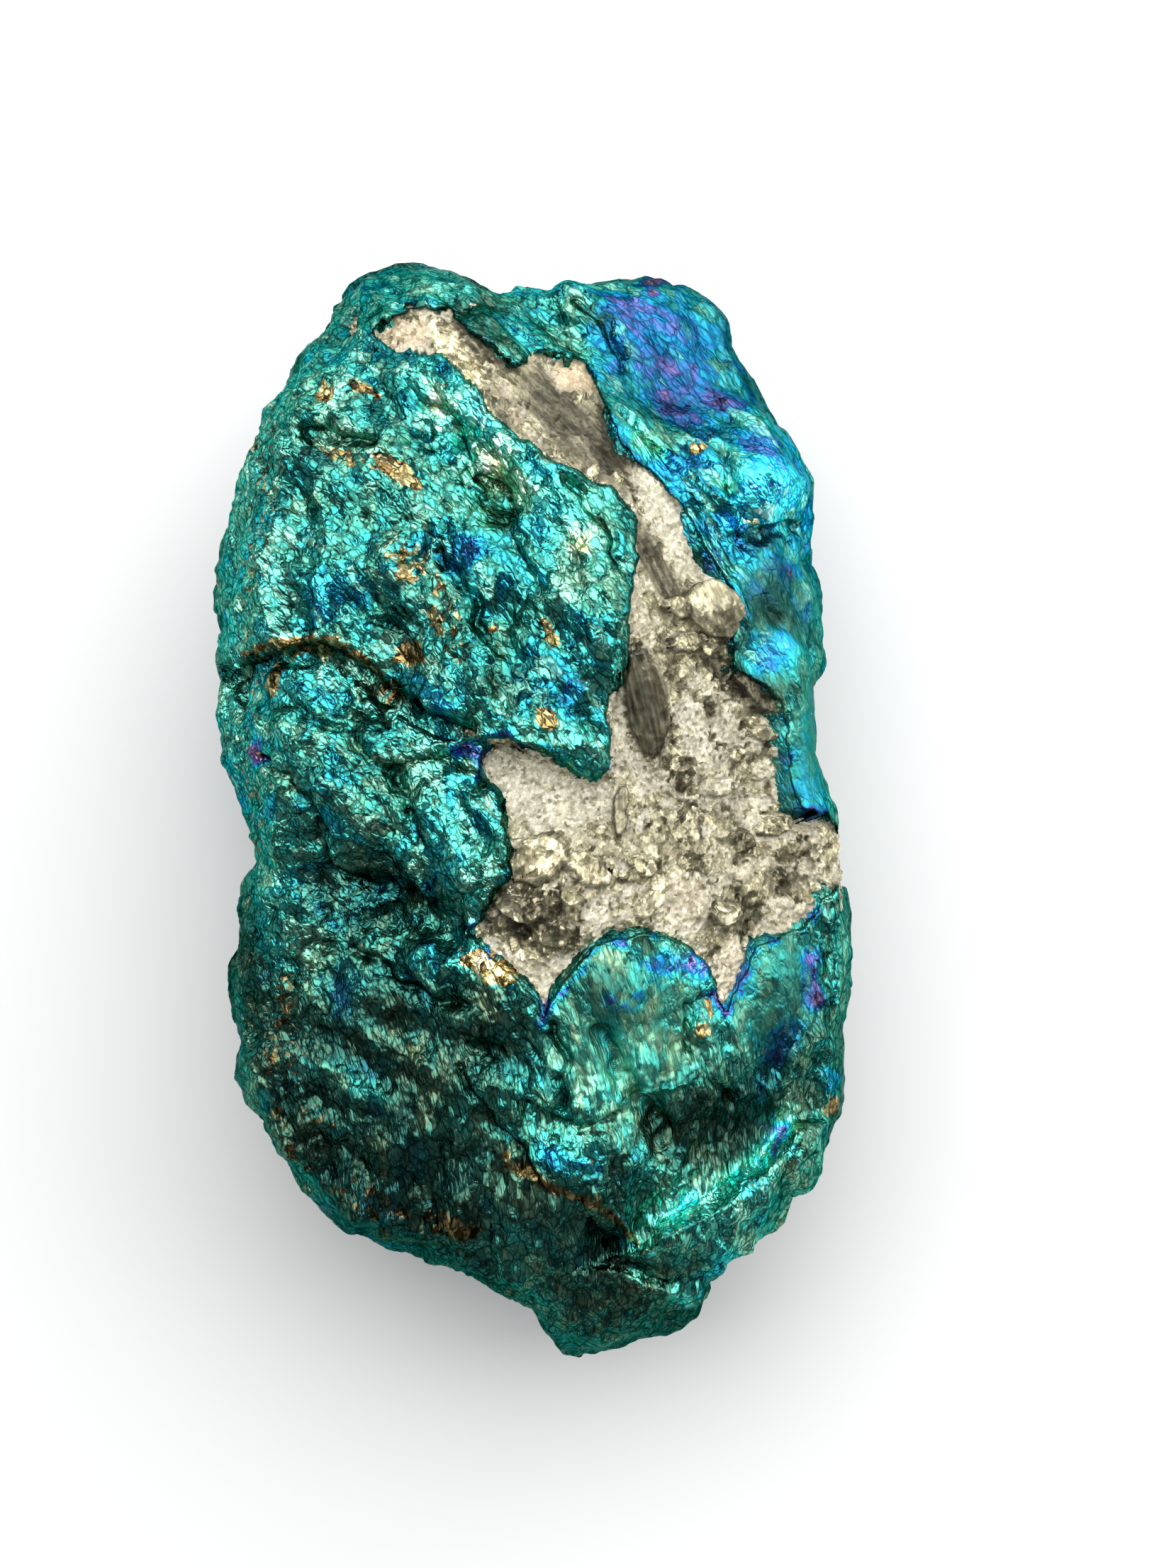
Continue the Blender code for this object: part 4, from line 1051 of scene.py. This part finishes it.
def film_at(points, directions):
    """The tarnish film's thickness: teal with slow drifts, then each patch and line of another thickness over it."""
    flat = as_seen(points) + sway_at(points, "film") + sway_at(points, "film_fine")
    film = TEAL_FILM + wave_at(points, "film_slow") + wave_at(points, "film_quick")
    blue_side = smooth_step(3.0, 9.0, flat[:, 0]) * smooth_step(8.0, 16.0, flat[:, 1])
    film += blue_side * ((BLUE_FILM - film) * BLUE_SHARE + wave_at(points, "film_blue"))
    film += LOW_FILM * smooth_step(0.0, -10.0, flat[:, 1])
    front = smooth_step(*FRONT_FILM_FADE, directions[:, 2])
    film = patched(film, flat, FILM_PATCHES, front)
    return lined(film, flat, FILM_LINES, front * smooth_step(-0.45, 0.2, wave_at(points, "film_gaps")))


def bare_share(points, directions):
    """How far the surface is worn at each point, from 0 to 1: the worn spots and lines, ragged at their edges."""
    ragged = sway_at(points, "bare")
    flat = as_seen(points) + ragged
    bare = np.zeros(len(points))
    for centre, half_sizes, turn, share in BARE_PATCHES:
        bare = np.maximum(bare, share * bell(oval_reach(flat, centre, half_sizes, turn), 1.0, 4))
    for line, half_width, share in BARE_LINES:
        distance, _ = distance_to_line(points[:, :2] + ragged, line)
        bare = np.maximum(bare, share * bell(distance, half_width))
    return bare * smooth_step(*FRONT_FILM_FADE, directions[:, 2])


def tone_and_painted_light_at(points, directions):
    """How much brighter or darker than usual, over 1: the own tone, then the patches and lines, mostly painted light
    and shade.
    """
    flat = as_seen(points) + sway_at(points, "tone_and_painted_light")
    tone_and_painted_light = 1.0 + wave_at(points, "tone_slow") + wave_at(points, "tone_quick")
    # The patches and lines paint highlights and shade over the surface's own tone.
    tone_and_painted_light = lined(patched(tone_and_painted_light, flat, TONE_AND_PAINTED_LIGHT_PATCHES), flat, PAINTED_LIGHT_LINES)
    return 1.0 + (tone_and_painted_light - 1.0) * smooth_step(*TONE_FADE, directions[:, 2])


def skin_values(points, directions, push, relief, edge):
    """What the tarnish material needs at each point: its film, its surface, and painted shade deeper in its hollows.
    """
    height = directions[:, 2]
    film = film_at(points, directions)
    burnt = bell(edge + BURNT_OUTSIDE, BURNT_WIDTH) * smooth_step(-0.05, 0.35, wave_at(points, "burnt_gaps"))
    burnt *= 1.0 - BURNT_LOSS_ABOVE * smooth_step(4.0, 7.0, points[:, 1])
    film += (BURNT_FILM + wave_at(points, "burnt_film") - film) * burnt * BURNT_SHARE
    # Painted shade on the walls under the rim and on the skin along the band's edge.
    wall_shade = WALL_PAINTED_SHADE + (1.0 - WALL_PAINTED_SHADE) * smooth_step(0.0, 0.3, height)
    edge_shade = 1.0 - EDGE_PAINTED_SHADE * smooth_step(-0.35, 0.15, edge)
    return {
        "film": film,
        "plate": region_share(points, PLATE_REGIONS) * (height > 0.0),
        "hair": region_share(points, HAIR_REGIONS),
        # Painted shade: darker down in the hollows of the relief.
        "hollow_shade": np.clip(0.95 + 0.9 * relief + 0.2 * (push - relief), 0.25, 1.0),
        "bare": bare_share(points, directions),
        "tone_and_painted_light": tone_and_painted_light_at(points, directions) * wall_shade * edge_shade,
    }


def skin_surface(counts, reach):
    """The lump's surface in front of this reach, cut up this finely.

    It gives the quads, and for each vertex its direction, point and normal, how far it stands out in all and by fine
    relief alone, and its facet's lean.
    """
    corners, quads = box_surface(counts)
    directions = sphere_directions(corners)
    quads, used = kept_quads(quads, directions[:, 2] > reach)
    directions = directions[used]
    points = lump_points(directions)
    normals = vertex_normals(points, quads)
    relief, facet = fine_push(points, along_grain(points))
    relief *= 1.0 - RELIEF_LOSS * bell(directions[:, 2], RELIEF_LOSS_REACH)
    push, relief = levelled(points, broken_push(points, directions), relief)
    relief += creases_at(points) * (directions[:, 2] > 0.0)
    return quads, directions, points, normals, push + relief, relief, facet


def make_back(material):
    """The skin of the whole lump, cut up coarsely and sunk a little where the front skins cover it."""
    quads, directions, points, normals, push, relief, facet = skin_surface(BACK_COUNTS, WHOLE_REACH)
    under = smooth_step(FRONT_REACH - 0.02, FRONT_REACH + 0.1, directions[:, 2])
    moved = points + normals * (push - under * BACK_SINK)[:, None]
    edge = band_edge(moved, directions)
    moved -= directions * (BACK_SINK_AT_BAND * smooth_step(-0.3, 1.2, edge) * under)[:, None]
    moved[:, 2] = np.maximum(moved[:, 2], 0.0)
    values = skin_values(points, directions, push, relief, edge)
    vectors = {"grain": along_grain(moved), "facet": facet}
    no_fan = np.zeros((0, 3), int)
    return make_piece("tarnished_back", moved, quads, no_fan, vertex_normals(moved, quads), material, values, vectors)


def make_fronts(material):
    """The finely cut skin of the front, in an upper and a lower piece, each closed inside the lump."""
    quads, directions, points, normals, push, relief, facet = skin_surface(FRONT_COUNTS, FRONT_REACH)
    moved = points + normals * push[:, None]
    edge = band_edge(moved, directions)
    moved += inward_at(moved, normals, directions) * LIP_DROP * smooth_step(0.0, BAND_LIP, edge)[:, None]
    shading = vertex_normals(moved, quads)
    values = skin_values(points, directions, push, relief, edge)
    vectors = {"grain": along_grain(moved), "facet": facet}
    quads = quads[(edge < LIP_REACH)[quads].all(axis=1)]
    upper = points[quads, 1].mean(axis=1) > 0.0
    parts = (("tarnished_upper", upper, UPPER_APEX), ("tarnished_lower", ~upper, LOWER_APEX))
    return [
        closed_piece(name, moved, quads[own], apex, shading, material, values, vectors)
        for name, own, apex in parts
    ]


def band_makeup(points):
    """At each point of the band: the height of its standing grains, and its brass, tone, sleekness and warmth."""
    seen = as_seen(points)
    flat = seen + sway_at(points, "makeup")
    height = np.zeros(len(points))
    makeup = np.tile(USUAL_MAKEUP, (len(points), 1))
    makeup[:, 0] += wave_at(points, "brass")
    for centre, half_sizes, turn, *values in BAND_PATCHES:
        inside = bell(oval_reach(flat, centre, half_sizes, turn), 1.0, 6)
        makeup += (values - makeup) * inside[:, None]
    flat = seen + sway_at(points, "grains")
    for centre, half_sizes, turn, rise, slopes, *values in BAND_GRAINS:
        reach = grain_reach(flat, centre, half_sizes, turn)
        inside = smooth_step(1.06, 0.94, reach)
        height = np.maximum(height, inside * (rise + (seen - centre) @ slopes))
        makeup[:, :3] += (values - makeup[:, :3]) * inside[:, None]
        # Painted shade: a dark ring round each standing grain.
        makeup[:, 1] *= 1.0 - GRAIN_RING_SHADE * bell(reach - 1.0, GRAIN_RING_WIDTH)
    return height, makeup


def band_surface():
    """The lump's surface where the band may be: its quads, and each vertex's direction and point."""
    corners, quads = box_surface(BAND_COUNTS)
    directions = sphere_directions(corners)
    flat, _ = plan_of(directions)
    edge, _ = distance_to_line(flat, BAND, closed=True)
    right, height = directions[:, 0], directions[:, 2]
    may_show = (height > BAND_LOWEST) | ((right > WRAP_SIDE) & (height > WRAP_LOWEST))
    quads, used = kept_quads(quads, (inside_outline(flat, BAND) | (edge < BAND_SEARCH)) & may_show)
    directions = directions[used]
    points = lump_points(directions)
    quads, used = kept_quads(quads, band_edge(points, directions) > -BAND_UNDER_SKIN)
    return quads, directions[used], points[used]


def make_band(flakes):
    """The pale band, which fills the sunken part: sugary grains, brassy chips, and larger grains that stand out."""
    quads, directions, points = band_surface()
    normals = vertex_normals(points, quads)
    height, makeup = band_makeup(points)
    brass, tone_and_painted_light, sleek, warm = makeup.T
    chips = np.zeros(len(points))
    facet = np.zeros((len(points), 3))
    for size, rise, seed in BAND_CHIPS:
        chip, value = chip_and_value(points, size, SEED + seed, flat_sided=True)
        chips += rise * chip
        facet = 0.6 * facet + value
    size, rise, seed = SUGAR
    sugar, value = chip_and_value(points, size, SEED + seed, flat_sided=True)
    sugar = rise * sugar + wave_at(points, "sugar")
    brass = smooth_step(0.45, 0.55, brass + 0.45 * facet[:, 0])
    mottled = wave_at(points, "mottle_slow") + wave_at(points, "mottle_quick")
    tone_and_painted_light = tone_and_painted_light * (1.0 + 0.7 * brass * facet[:, 1] + (1.0 - brass) * mottled)
    relief = sugar + brass * (chips - sugar)
    streaks = wave_at(along_flow(points) * STREAK_STRETCH, "streaks")
    relief += sleek * (0.2 * chips + streaks - relief)
    depth = BAND_DEPTH * (1.0 - 0.5 * smooth_step(22.0, 29.0, points[:, 1]))
    push = broken_push(points, directions) * BAND_PUSH_SHARE + relief + height
    moved = points + normals * push[:, None] + inward_at(points, normals, directions) * depth[:, None]
    values = {
        "brass": brass,
        "tone_and_painted_light": tone_and_painted_light,
        "sleek": sleek,
        "warm": warm,
        "speck": value[:, 0] + 0.5,
        # Painted shade: darker down in the hollows of the relief, more so on the brass.
        "hollow_shade": np.clip(0.95 + (1.2 + 0.4 * brass) * relief, 0.2, 1.0),
    }
    shading = vertex_normals(moved, quads) + 1.2 * brass[:, None] * normals
    shading /= np.linalg.norm(shading, axis=1, keepdims=True)
    vectors = {"grain": along_grain(moved), "facet": facet, "flow": along_flow(moved)}
    brassy = makeup[quads, 0].min(axis=1) > BRASSY_FROM
    parts = (
        ("pale_band", ~brassy, BAND_APEX, "pale_matrix"),
        ("brassy_grains", brassy, GRAINS_APEX, "brassy_chalcopyrite"),
    )
    return [
        closed_piece(name, moved, quads[own], apex, shading, band_material(slot, flakes), values, vectors)
        for name, own, apex, slot in parts
    ]


def new_material(name):
    """A material with nodes, its tree, and its shader."""
    material = bpy.data.materials.new(name)
    material.use_nodes = True
    return material, material.node_tree, material.node_tree.nodes["Principled BSDF"]


def feed(tree, socket, value):
    """Links another node's output to this input, or sets a constant on it. None leaves it as it is."""
    if isinstance(value, bpy.types.NodeSocket):
        tree.links.new(value, socket)
    elif value is not None:
        socket.default_value = value


def node(tree, kind, **settings):
    """A new node with these settings."""
    made = tree.nodes.new(kind)
    for name, value in settings.items():
        setattr(made, name, value)
    return made


def new_group(name, inputs, outputs):
    """A node group with these sockets, and its two end nodes."""
    group = bpy.data.node_groups.new(name, "ShaderNodeTree")
    for label, kind, value in inputs:
        socket = group.interface.new_socket(label, in_out="INPUT", socket_type="NodeSocket" + kind)
        if value is not None:
            socket.default_value = value
    for label, kind in outputs:
        group.interface.new_socket(label, in_out="OUTPUT", socket_type="NodeSocket" + kind)
    return group, group.nodes.new("NodeGroupInput"), group.nodes.new("NodeGroupOutput")


def use_group(tree, group, **inputs):
    """The outputs of a node that runs this group on these inputs."""
    made = node(tree, "ShaderNodeGroup", node_tree=group)
    for label, value in inputs.items():
        feed(tree, made.inputs[label], value)
    return made.outputs


def math_node(tree, operation, *operands, clamp=False):
    """One Math node. Each operand is a socket or a number."""
    made = node(tree, "ShaderNodeMath", operation=operation, use_clamp=clamp)
    for socket, value in zip(made.inputs, operands):
        feed(tree, socket, value)
    return made.outputs[0]


def vector_node(tree, operation, first, second=None, scale=None):
    """One Vector Math node. Each operand is a socket or a vector."""
    made = node(tree, "ShaderNodeVectorMath", operation=operation)
    for place, value in ((0, first), (1, second), (3, scale)):
        feed(tree, made.inputs[place], value)
    return made.outputs["Value" if operation == "DOT_PRODUCT" else "Vector"]


def mix_node(tree, kind, factor, first, second, mode="MIX"):
    """One Mix node for this kind of data. A colour may be given as three numbers."""
    made = node(tree, "ShaderNodeMix", data_type=kind, blend_type=mode)
    first_at, second_at, result_at = {"FLOAT": (2, 3, 0), "VECTOR": (4, 5, 1), "RGBA": (6, 7, 2)}[kind]
    for place, value in ((0, factor), (first_at, first), (second_at, second)):
        feed(tree, made.inputs[place], (*value, 1.0) if isinstance(value, tuple) else value)
    return made.outputs[result_at]


def attribute(tree, name, output="Fac"):
    """One of the mesh's own values: Fac for a number, Vector for three."""
    return node(tree, "ShaderNodeAttribute", attribute_name=name).outputs[output]


def noise_node(tree, vector, scale, detail, roughness=0.5):
    """The outputs of a fractal noise: Fac, from 0 to 1, and Color, three such numbers."""
    made = node(tree, "ShaderNodeTexNoise", noise_dimensions="3D")
    for label, value in (("Vector", vector), ("Scale", scale), ("Detail", detail), ("Roughness", roughness)):
        feed(tree, made.inputs[label], value)
    return made.outputs


def ramp(tree, factor, stops):
    """A colour ramp: each stop is its place and its colour."""
    made = node(tree, "ShaderNodeValToRGB")
    elements = made.color_ramp.elements
    while len(elements) < len(stops):
        elements.new(1.0)
    for element, (place, colour) in zip(elements, stops):
        element.position = place
        element.color = (*colour, 1.0)
    feed(tree, made.inputs["Fac"], factor)
    return made.outputs["Color"]


def rising(tree, value, start, steepness, offset=0.0):
    """(value - start) x steepness + offset, kept from 0 to 1."""
    return math_node(tree, "MULTIPLY_ADD", math_node(tree, "SUBTRACT", value, start), steepness, offset, clamp=True)


def product(tree, first, *others):
    """The first value times each of the others."""
    for other in others:
        first = math_node(tree, "MULTIPLY", first, other)
    return first


def edge_mask(tree, edge, sharpness):
    """0 on the border of a flake and 1 inside it."""
    return math_node(tree, "MULTIPLY", edge, sharpness, clamp=True)


def less(tree, value):
    """1 less the value."""
    return math_node(tree, "SUBTRACT", 1.0, value)


def tilted(tree, normal, facet, tilt):
    """The normal leant over by the facet's own vector times the tilt."""
    leaning = vector_node(tree, "SCALE", facet, scale=tilt)
    return vector_node(tree, "NORMALIZE", vector_node(tree, "ADD", normal, leaning))


def flakes_group():
    """Crystal flakes: each cell leans its own way, and is told apart by a value and by how near its edge is."""
    group, source, result = new_group(
        "Crystal flakes",
        (
            ("Vector", "Vector", None),
            ("Size", "Float", 0.5),
            ("Warp", "Float", 0.5),
            ("Lean", "Float", 0.5),
            ("Normal", "Vector", None),
        ),
        (("Normal", "Vector"), ("Value", "Float"), ("Edge", "Float")),
    )
    given = source.outputs
    size = node(group, "ShaderNodeCombineXYZ")
    for socket in size.inputs:
        feed(group, socket, given["Size"])
    place = vector_node(group, "DIVIDE", given["Vector"], size.outputs[0])
    stir = noise_node(group, place, 0.9, 2.0)["Color"]
    shift = vector_node(group, "SUBTRACT", stir, (0.5, 0.5, 0.5))
    place = vector_node(group, "ADD", place, vector_node(group, "SCALE", shift, scale=given["Warp"]))
    cells = node(group, "ShaderNodeTexVoronoi", feature="F1")
    edges = node(group, "ShaderNodeTexVoronoi", feature="DISTANCE_TO_EDGE")
    for texture in (cells, edges):
        feed(group, texture.inputs["Vector"], place)
        feed(group, texture.inputs["Scale"], 1.0)
    lean = vector_node(group, "SUBTRACT", cells.outputs["Color"], (0.5, 0.5, 0.5))
    split = node(group, "ShaderNodeSeparateColor")
    feed(group, split.inputs[0], cells.outputs["Color"])
    feed(group, result.inputs["Normal"], tilted(group, given["Normal"], lean, given["Lean"]))
    feed(group, result.inputs["Value"], split.outputs[0])
    feed(group, result.inputs["Edge"], edges.outputs["Distance"])
    return group


def tarnish_material(flakes):
    """Crinkled metallic tarnish. The film's thickness picks the colour, and leaning flakes catch the light."""
    material, tree, shader = new_material("tarnished_chalcopyrite")
    grain = attribute(tree, "grain", "Vector")
    facet = attribute(tree, "facet", "Vector")
    plate, hair, tone_and_painted_light = (attribute(tree, name) for name in ("plate", "hair", "tone_and_painted_light"))
    geometry = node(tree, "ShaderNodeNewGeometry").outputs["Normal"]

    # Large flakes lean on the facets, and small ones lean on them. In combed places thin strands are there instead.
    calm = math_node(tree, "MAXIMUM", plate, product(tree, hair, 0.9))
    leaning = tilted(tree, geometry, facet, math_node(tree, "MULTIPLY_ADD", calm, -0.24, 0.39))
    lean = math_node(tree, "MULTIPLY_ADD", calm, -0.10, 0.22)
    squashed = vector_node(tree, "MULTIPLY", grain, (1.0, 0.6, 1.0))
    big = use_group(tree, flakes, Vector=squashed, Size=0.85, Warp=1.1, Lean=lean, Normal=leaning)
    lean = math_node(tree, "MULTIPLY_ADD", plate, -0.12, 0.26)
    small = use_group(tree, flakes, Vector=squashed, Size=0.40, Warp=1.25, Lean=lean, Normal=big["Normal"])
    combed_grain = vector_node(tree, "MULTIPLY", grain, (1.0, 0.2, 1.0))
    strand = use_group(tree, flakes, Vector=combed_grain, Size=0.32, Warp=0.9, Lean=0.38, Normal=big["Normal"])
    ragged = math_node(tree, "MULTIPLY_ADD", big["Value"], 0.8, -0.9)
    combed = math_node(tree, "MULTIPLY_ADD", math_node(tree, "ADD", hair, ragged), 6.0, 0.5, clamp=True)
    small_normal = mix_node(tree, "VECTOR", combed, small["Normal"], strand["Normal"])
    small_value = mix_node(tree, "FLOAT", combed, small["Value"], strand["Value"])
    small_edge = mix_node(tree, "FLOAT", combed, small["Edge"], strand["Edge"])

    # Fine threads along the grain and the small flakes' raised middles, as bump.
    thread = noise_node(tree, vector_node(tree, "MULTIPLY", grain, (6.0, 0.5, 3.0)), 1.0, 3.0)["Fac"]
    height = math_node(tree, "MULTIPLY_ADD", thread, hair, product(tree, edge_mask(tree, small_edge, 4.0), 0.25))
    bump = node(tree, "ShaderNodeBump")
    for label, value in (("Strength", 0.6), ("Distance", 0.0002), ("Height", height), ("Normal", small_normal)):
        feed(tree, bump.inputs[label], value)
    feed(tree, shader.inputs["Normal"], bump.outputs["Normal"])

    # The film shifts a little from flake to flake and with each facet's own number.
    film = math_node(tree, "ADD", attribute(tree, "film"), math_node(tree, "MULTIPLY_ADD", big["Value"], 0.12, -0.06))
    film = math_node(tree, "MULTIPLY_ADD", vector_node(tree, "DOT_PRODUCT", facet, (1.0, 0.0, 0.0)), 0.12, film)
    film = math_node(tree, "ADD", film, math_node(tree, "MULTIPLY_ADD", small_value, 0.10, -0.05), clamp=True)

    # Some flakes are pale as painted highlights, where the film isn't violet or thinner, and mostly out of the combed
    # places and the painted shade.
    uncombed = math_node(tree, "MULTIPLY_ADD", combed, -0.6, 1.0)
    lit = math_node(tree, "MULTIPLY", tone_and_painted_light, 1.25, clamp=True)
    pale = product(tree, rising(tree, big["Value"], 0.62, 5.0), product(tree, small_value, 0.6), uncombed)
    pale = product(tree, pale, rising(tree, film, 0.40, 8.0), lit)
    colour = mix_node(tree, "RGBA", pale, ramp(tree, film, FILM_STOPS), PAINTED_HIGHLIGHT_FLAKE)

    # Where the painted shade is deep the colour is greyer, and worn places are brown, copper and gold.
    greyed_in_shade = math_node(tree, "MULTIPLY", math_node(tree, "SUBTRACT", 0.6, tone_and_painted_light), 0.5, clamp=True)
    colour = mix_node(tree, "RGBA", greyed_in_shade, colour, PAINTED_SHADE_GREY)
    patchy = math_node(tree, "MULTIPLY_ADD", noise_node(tree, grain, 1.7, 5.0, 0.65)["Fac"], 2.2, -1.1)
    bare = rising(tree, math_node(tree, "ADD", patchy, attribute(tree, "bare")), 0.42, 7.0, 0.5)
    colour = mix_node(tree, "RGBA", bare, colour, ramp(tree, small_value, WORN_STOPS))

    # Painted shade in dark lines between flakes, deepest off the plates.
    inside = math_node(tree, "MAXIMUM", edge_mask(tree, small_edge, 9.0), product(tree, plate, 0.55))
    crease_shade = less(tree, product(tree, inside, edge_mask(tree, big["Edge"], 9.0)))
    crease_shade = product(tree, crease_shade, math_node(tree, "MULTIPLY_ADD", less(tree, plate), 0.45, 0.33))
    shade = product(tree, less(tree, crease_shade), attribute(tree, "hollow_shade"), tone_and_painted_light)
    feed(tree, shader.inputs["Base Color"], mix_node(tree, "RGBA", 1.0, colour, shade, "MULTIPLY"))
    shader.inputs["Metallic"].default_value = 1.0
    shader.inputs["Specular Tint"].default_value = (0.25, 0.45, 0.42, 1.0)
    rough = math_node(tree, "MULTIPLY_ADD", small_value, 0.16, 0.20)
    feed(tree, shader.inputs["Roughness"], math_node(tree, "MULTIPLY_ADD", plate, 0.18, rough))
    return material


def band_material(name, flakes):
    """Sugary pale mineral and brassy grains. Each grain's own value picks its colour, and sleek parts are streaked."""
    material, tree, shader = new_material(name)
    grain, facet, flow = (attribute(tree, label, "Vector") for label in ("grain", "facet", "flow"))
    brass, sleek = (attribute(tree, label) for label in ("brass", "sleek"))
    geometry = node(tree, "ShaderNodeNewGeometry").outputs["Normal"]

    # Sugar grains in the pale mineral, and blocks broken into chips in the brass.
    sugar = use_group(tree, flakes, Vector=grain, Size=0.22, Warp=0.4, Lean=0.9, Normal=geometry)
    leaning = tilted(tree, geometry, facet, math_node(tree, "MULTIPLY_ADD", sleek, -0.65, 0.75))
    lean = math_node(tree, "MULTIPLY_ADD", sleek, -0.42, 0.55)
    drawn = vector_node(tree, "MULTIPLY", flow, (1.0, 0.7, 1.0))
    blocks = use_group(tree, flakes, Vector=drawn, Size=0.66, Warp=0.9, Lean=lean, Normal=leaning)
    chips = use_group(tree, flakes, Vector=drawn, Size=0.27, Warp=0.9, Lean=lean, Normal=blocks["Normal"])

    pale = product(tree, attribute(tree, "speck"), 0.4)
    pale = ramp(tree, math_node(tree, "MULTIPLY_ADD", sugar["Value"], 0.6, pale), PALE_STOPS)
    warm = mix_node(tree, "RGBA", 1.0, pale, WARM_TINT, "MULTIPLY")
    pale = mix_node(tree, "RGBA", attribute(tree, "warm"), pale, warm)

    own = vector_node(tree, "DOT_PRODUCT", facet, (1.0, 0.0, 0.0))
    shine = math_node(tree, "MULTIPLY_ADD", own, 0.30, 0.08)
    shine = math_node(tree, "MULTIPLY_ADD", blocks["Value"], 0.45, shine)
    shine = math_node(tree, "MULTIPLY_ADD", chips["Value"], 0.42, shine)
    thread = noise_node(tree, vector_node(tree, "MULTIPLY", flow, (4.2, 0.3, 1.0)), 1.0, 4.0)["Fac"]
    gold = ramp(tree, shine, GOLD_STOPS)
    gold = mix_node(tree, "RGBA", product(tree, sleek, 0.8), gold, ramp(tree, thread, STREAK_STOPS))
    colour = mix_node(tree, "RGBA", brass, pale, gold)

    # Painted shade in the gaps between the brass chips and in the pores between the sugar grains.
    inside = product(tree, edge_mask(tree, blocks["Edge"], 8.0), edge_mask(tree, chips["Edge"], 8.0))
    rugged = product(tree, brass, math_node(tree, "MULTIPLY_ADD", sleek, -0.7, 1.0), 0.5)
    gap_shade = product(tree, less(tree, inside), rugged)
    pore_shade = product(tree, less(tree, edge_mask(tree, sugar["Edge"], 7.0)), 0.25, less(tree, brass))
    solid = less(tree, math_node(tree, "ADD", gap_shade, pore_shade))
    shade = product(tree, attribute(tree, "hollow_shade"), attribute(tree, "tone_and_painted_light"), solid)
    feed(tree, shader.inputs["Base Color"], mix_node(tree, "RGBA", 1.0, colour, shade, "MULTIPLY"))
    feed(tree, shader.inputs["Metallic"], product(tree, brass, 0.6))
    glint = math_node(tree, "MULTIPLY_ADD", chips["Value"], -0.42, 0.05)
    feed(tree, shader.inputs["Roughness"], math_node(tree, "MULTIPLY_ADD", brass, glint, 0.52))
    feed(tree, shader.inputs["Normal"], mix_node(tree, "VECTOR", brass, sugar["Normal"], chips["Normal"]))
    return material


def make_floor():
    """A plain pale floor, larger than the view."""
    material, _, shader = new_material("floor")
    shader.inputs["Base Color"].default_value = FLOOR_COLOUR
    shader.inputs["Roughness"].default_value = 0.9
    shader.inputs["Specular IOR Level"].default_value = 0.1
    mesh = bpy.data.meshes.new("floor")
    mesh.from_pydata([(x * FLOOR_HALF, y * FLOOR_HALF, 0.0) for x, y in FLOOR_CORNERS], [], [(0, 1, 2, 3)])
    mesh.materials.append(material)
    floor = bpy.data.objects.new("floor", mesh)
    bpy.context.scene.collection.objects.link(floor)
    return floor


def add_light(name, place, size, power):
    """A softbox, in metres and watts, which faces the lump's middle."""
    light = bpy.data.lights.new(name, "AREA")
    light.shape = "RECTANGLE"
    light.size, light.size_y = size
    light.energy = power
    lamp = bpy.data.objects.new(name, light)
    lamp.location = place
    lamp.rotation_euler = (Vector(LIGHT_TARGET) - Vector(place)).to_track_quat("-Z", "Y").to_euler()
    bpy.context.scene.collection.objects.link(lamp)


def set_camera():
    """A camera straight above the lump, as far and as long as gives the photograph's frame."""
    camera = bpy.data.cameras.new("camera")
    camera.sensor_width = 36.0
    camera.lens = camera.sensor_width * (CAMERA_HEIGHT - RIM_HEIGHT) / FRAME_LENGTH
    camera.clip_start = 0.01
    seat = bpy.data.objects.new("camera", camera)
    seat.location = [METRES_PER_MM * value for value in (*FRAME_MIDDLE, CAMERA_HEIGHT)]
    bpy.context.scene.collection.objects.link(seat)
    bpy.context.scene.camera = seat


def set_world():
    """Faint, slightly cool light from all around."""
    world = bpy.data.worlds.new("world")
    world.use_nodes = True
    sky = world.node_tree.nodes["Background"]
    sky.inputs["Color"].default_value = SKY_COLOUR
    sky.inputs["Strength"].default_value = SKY_STRENGTH
    bpy.context.scene.world = world


def main():
    """Dresses the lump, stages and lights it."""
    bpy.context.scene.view_settings.view_transform = "Standard"
    flakes = flakes_group()
    tarnish = tarnish_material(flakes)
    for piece in (make_back(tarnish), *make_fronts(tarnish)):
        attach(piece, "root")
        if piece.name == "tarnished_back":
            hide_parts("chalcopyrite")
    for piece, slot in zip(make_band(flakes), ("pale_matrix", "brassy_chalcopyrite")):
        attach(piece, "root")
    make_floor()
    for name, (place, size, power) in LIGHTS.items():
        add_light(name, place, size, power)
    set_camera()
    set_world()


main()
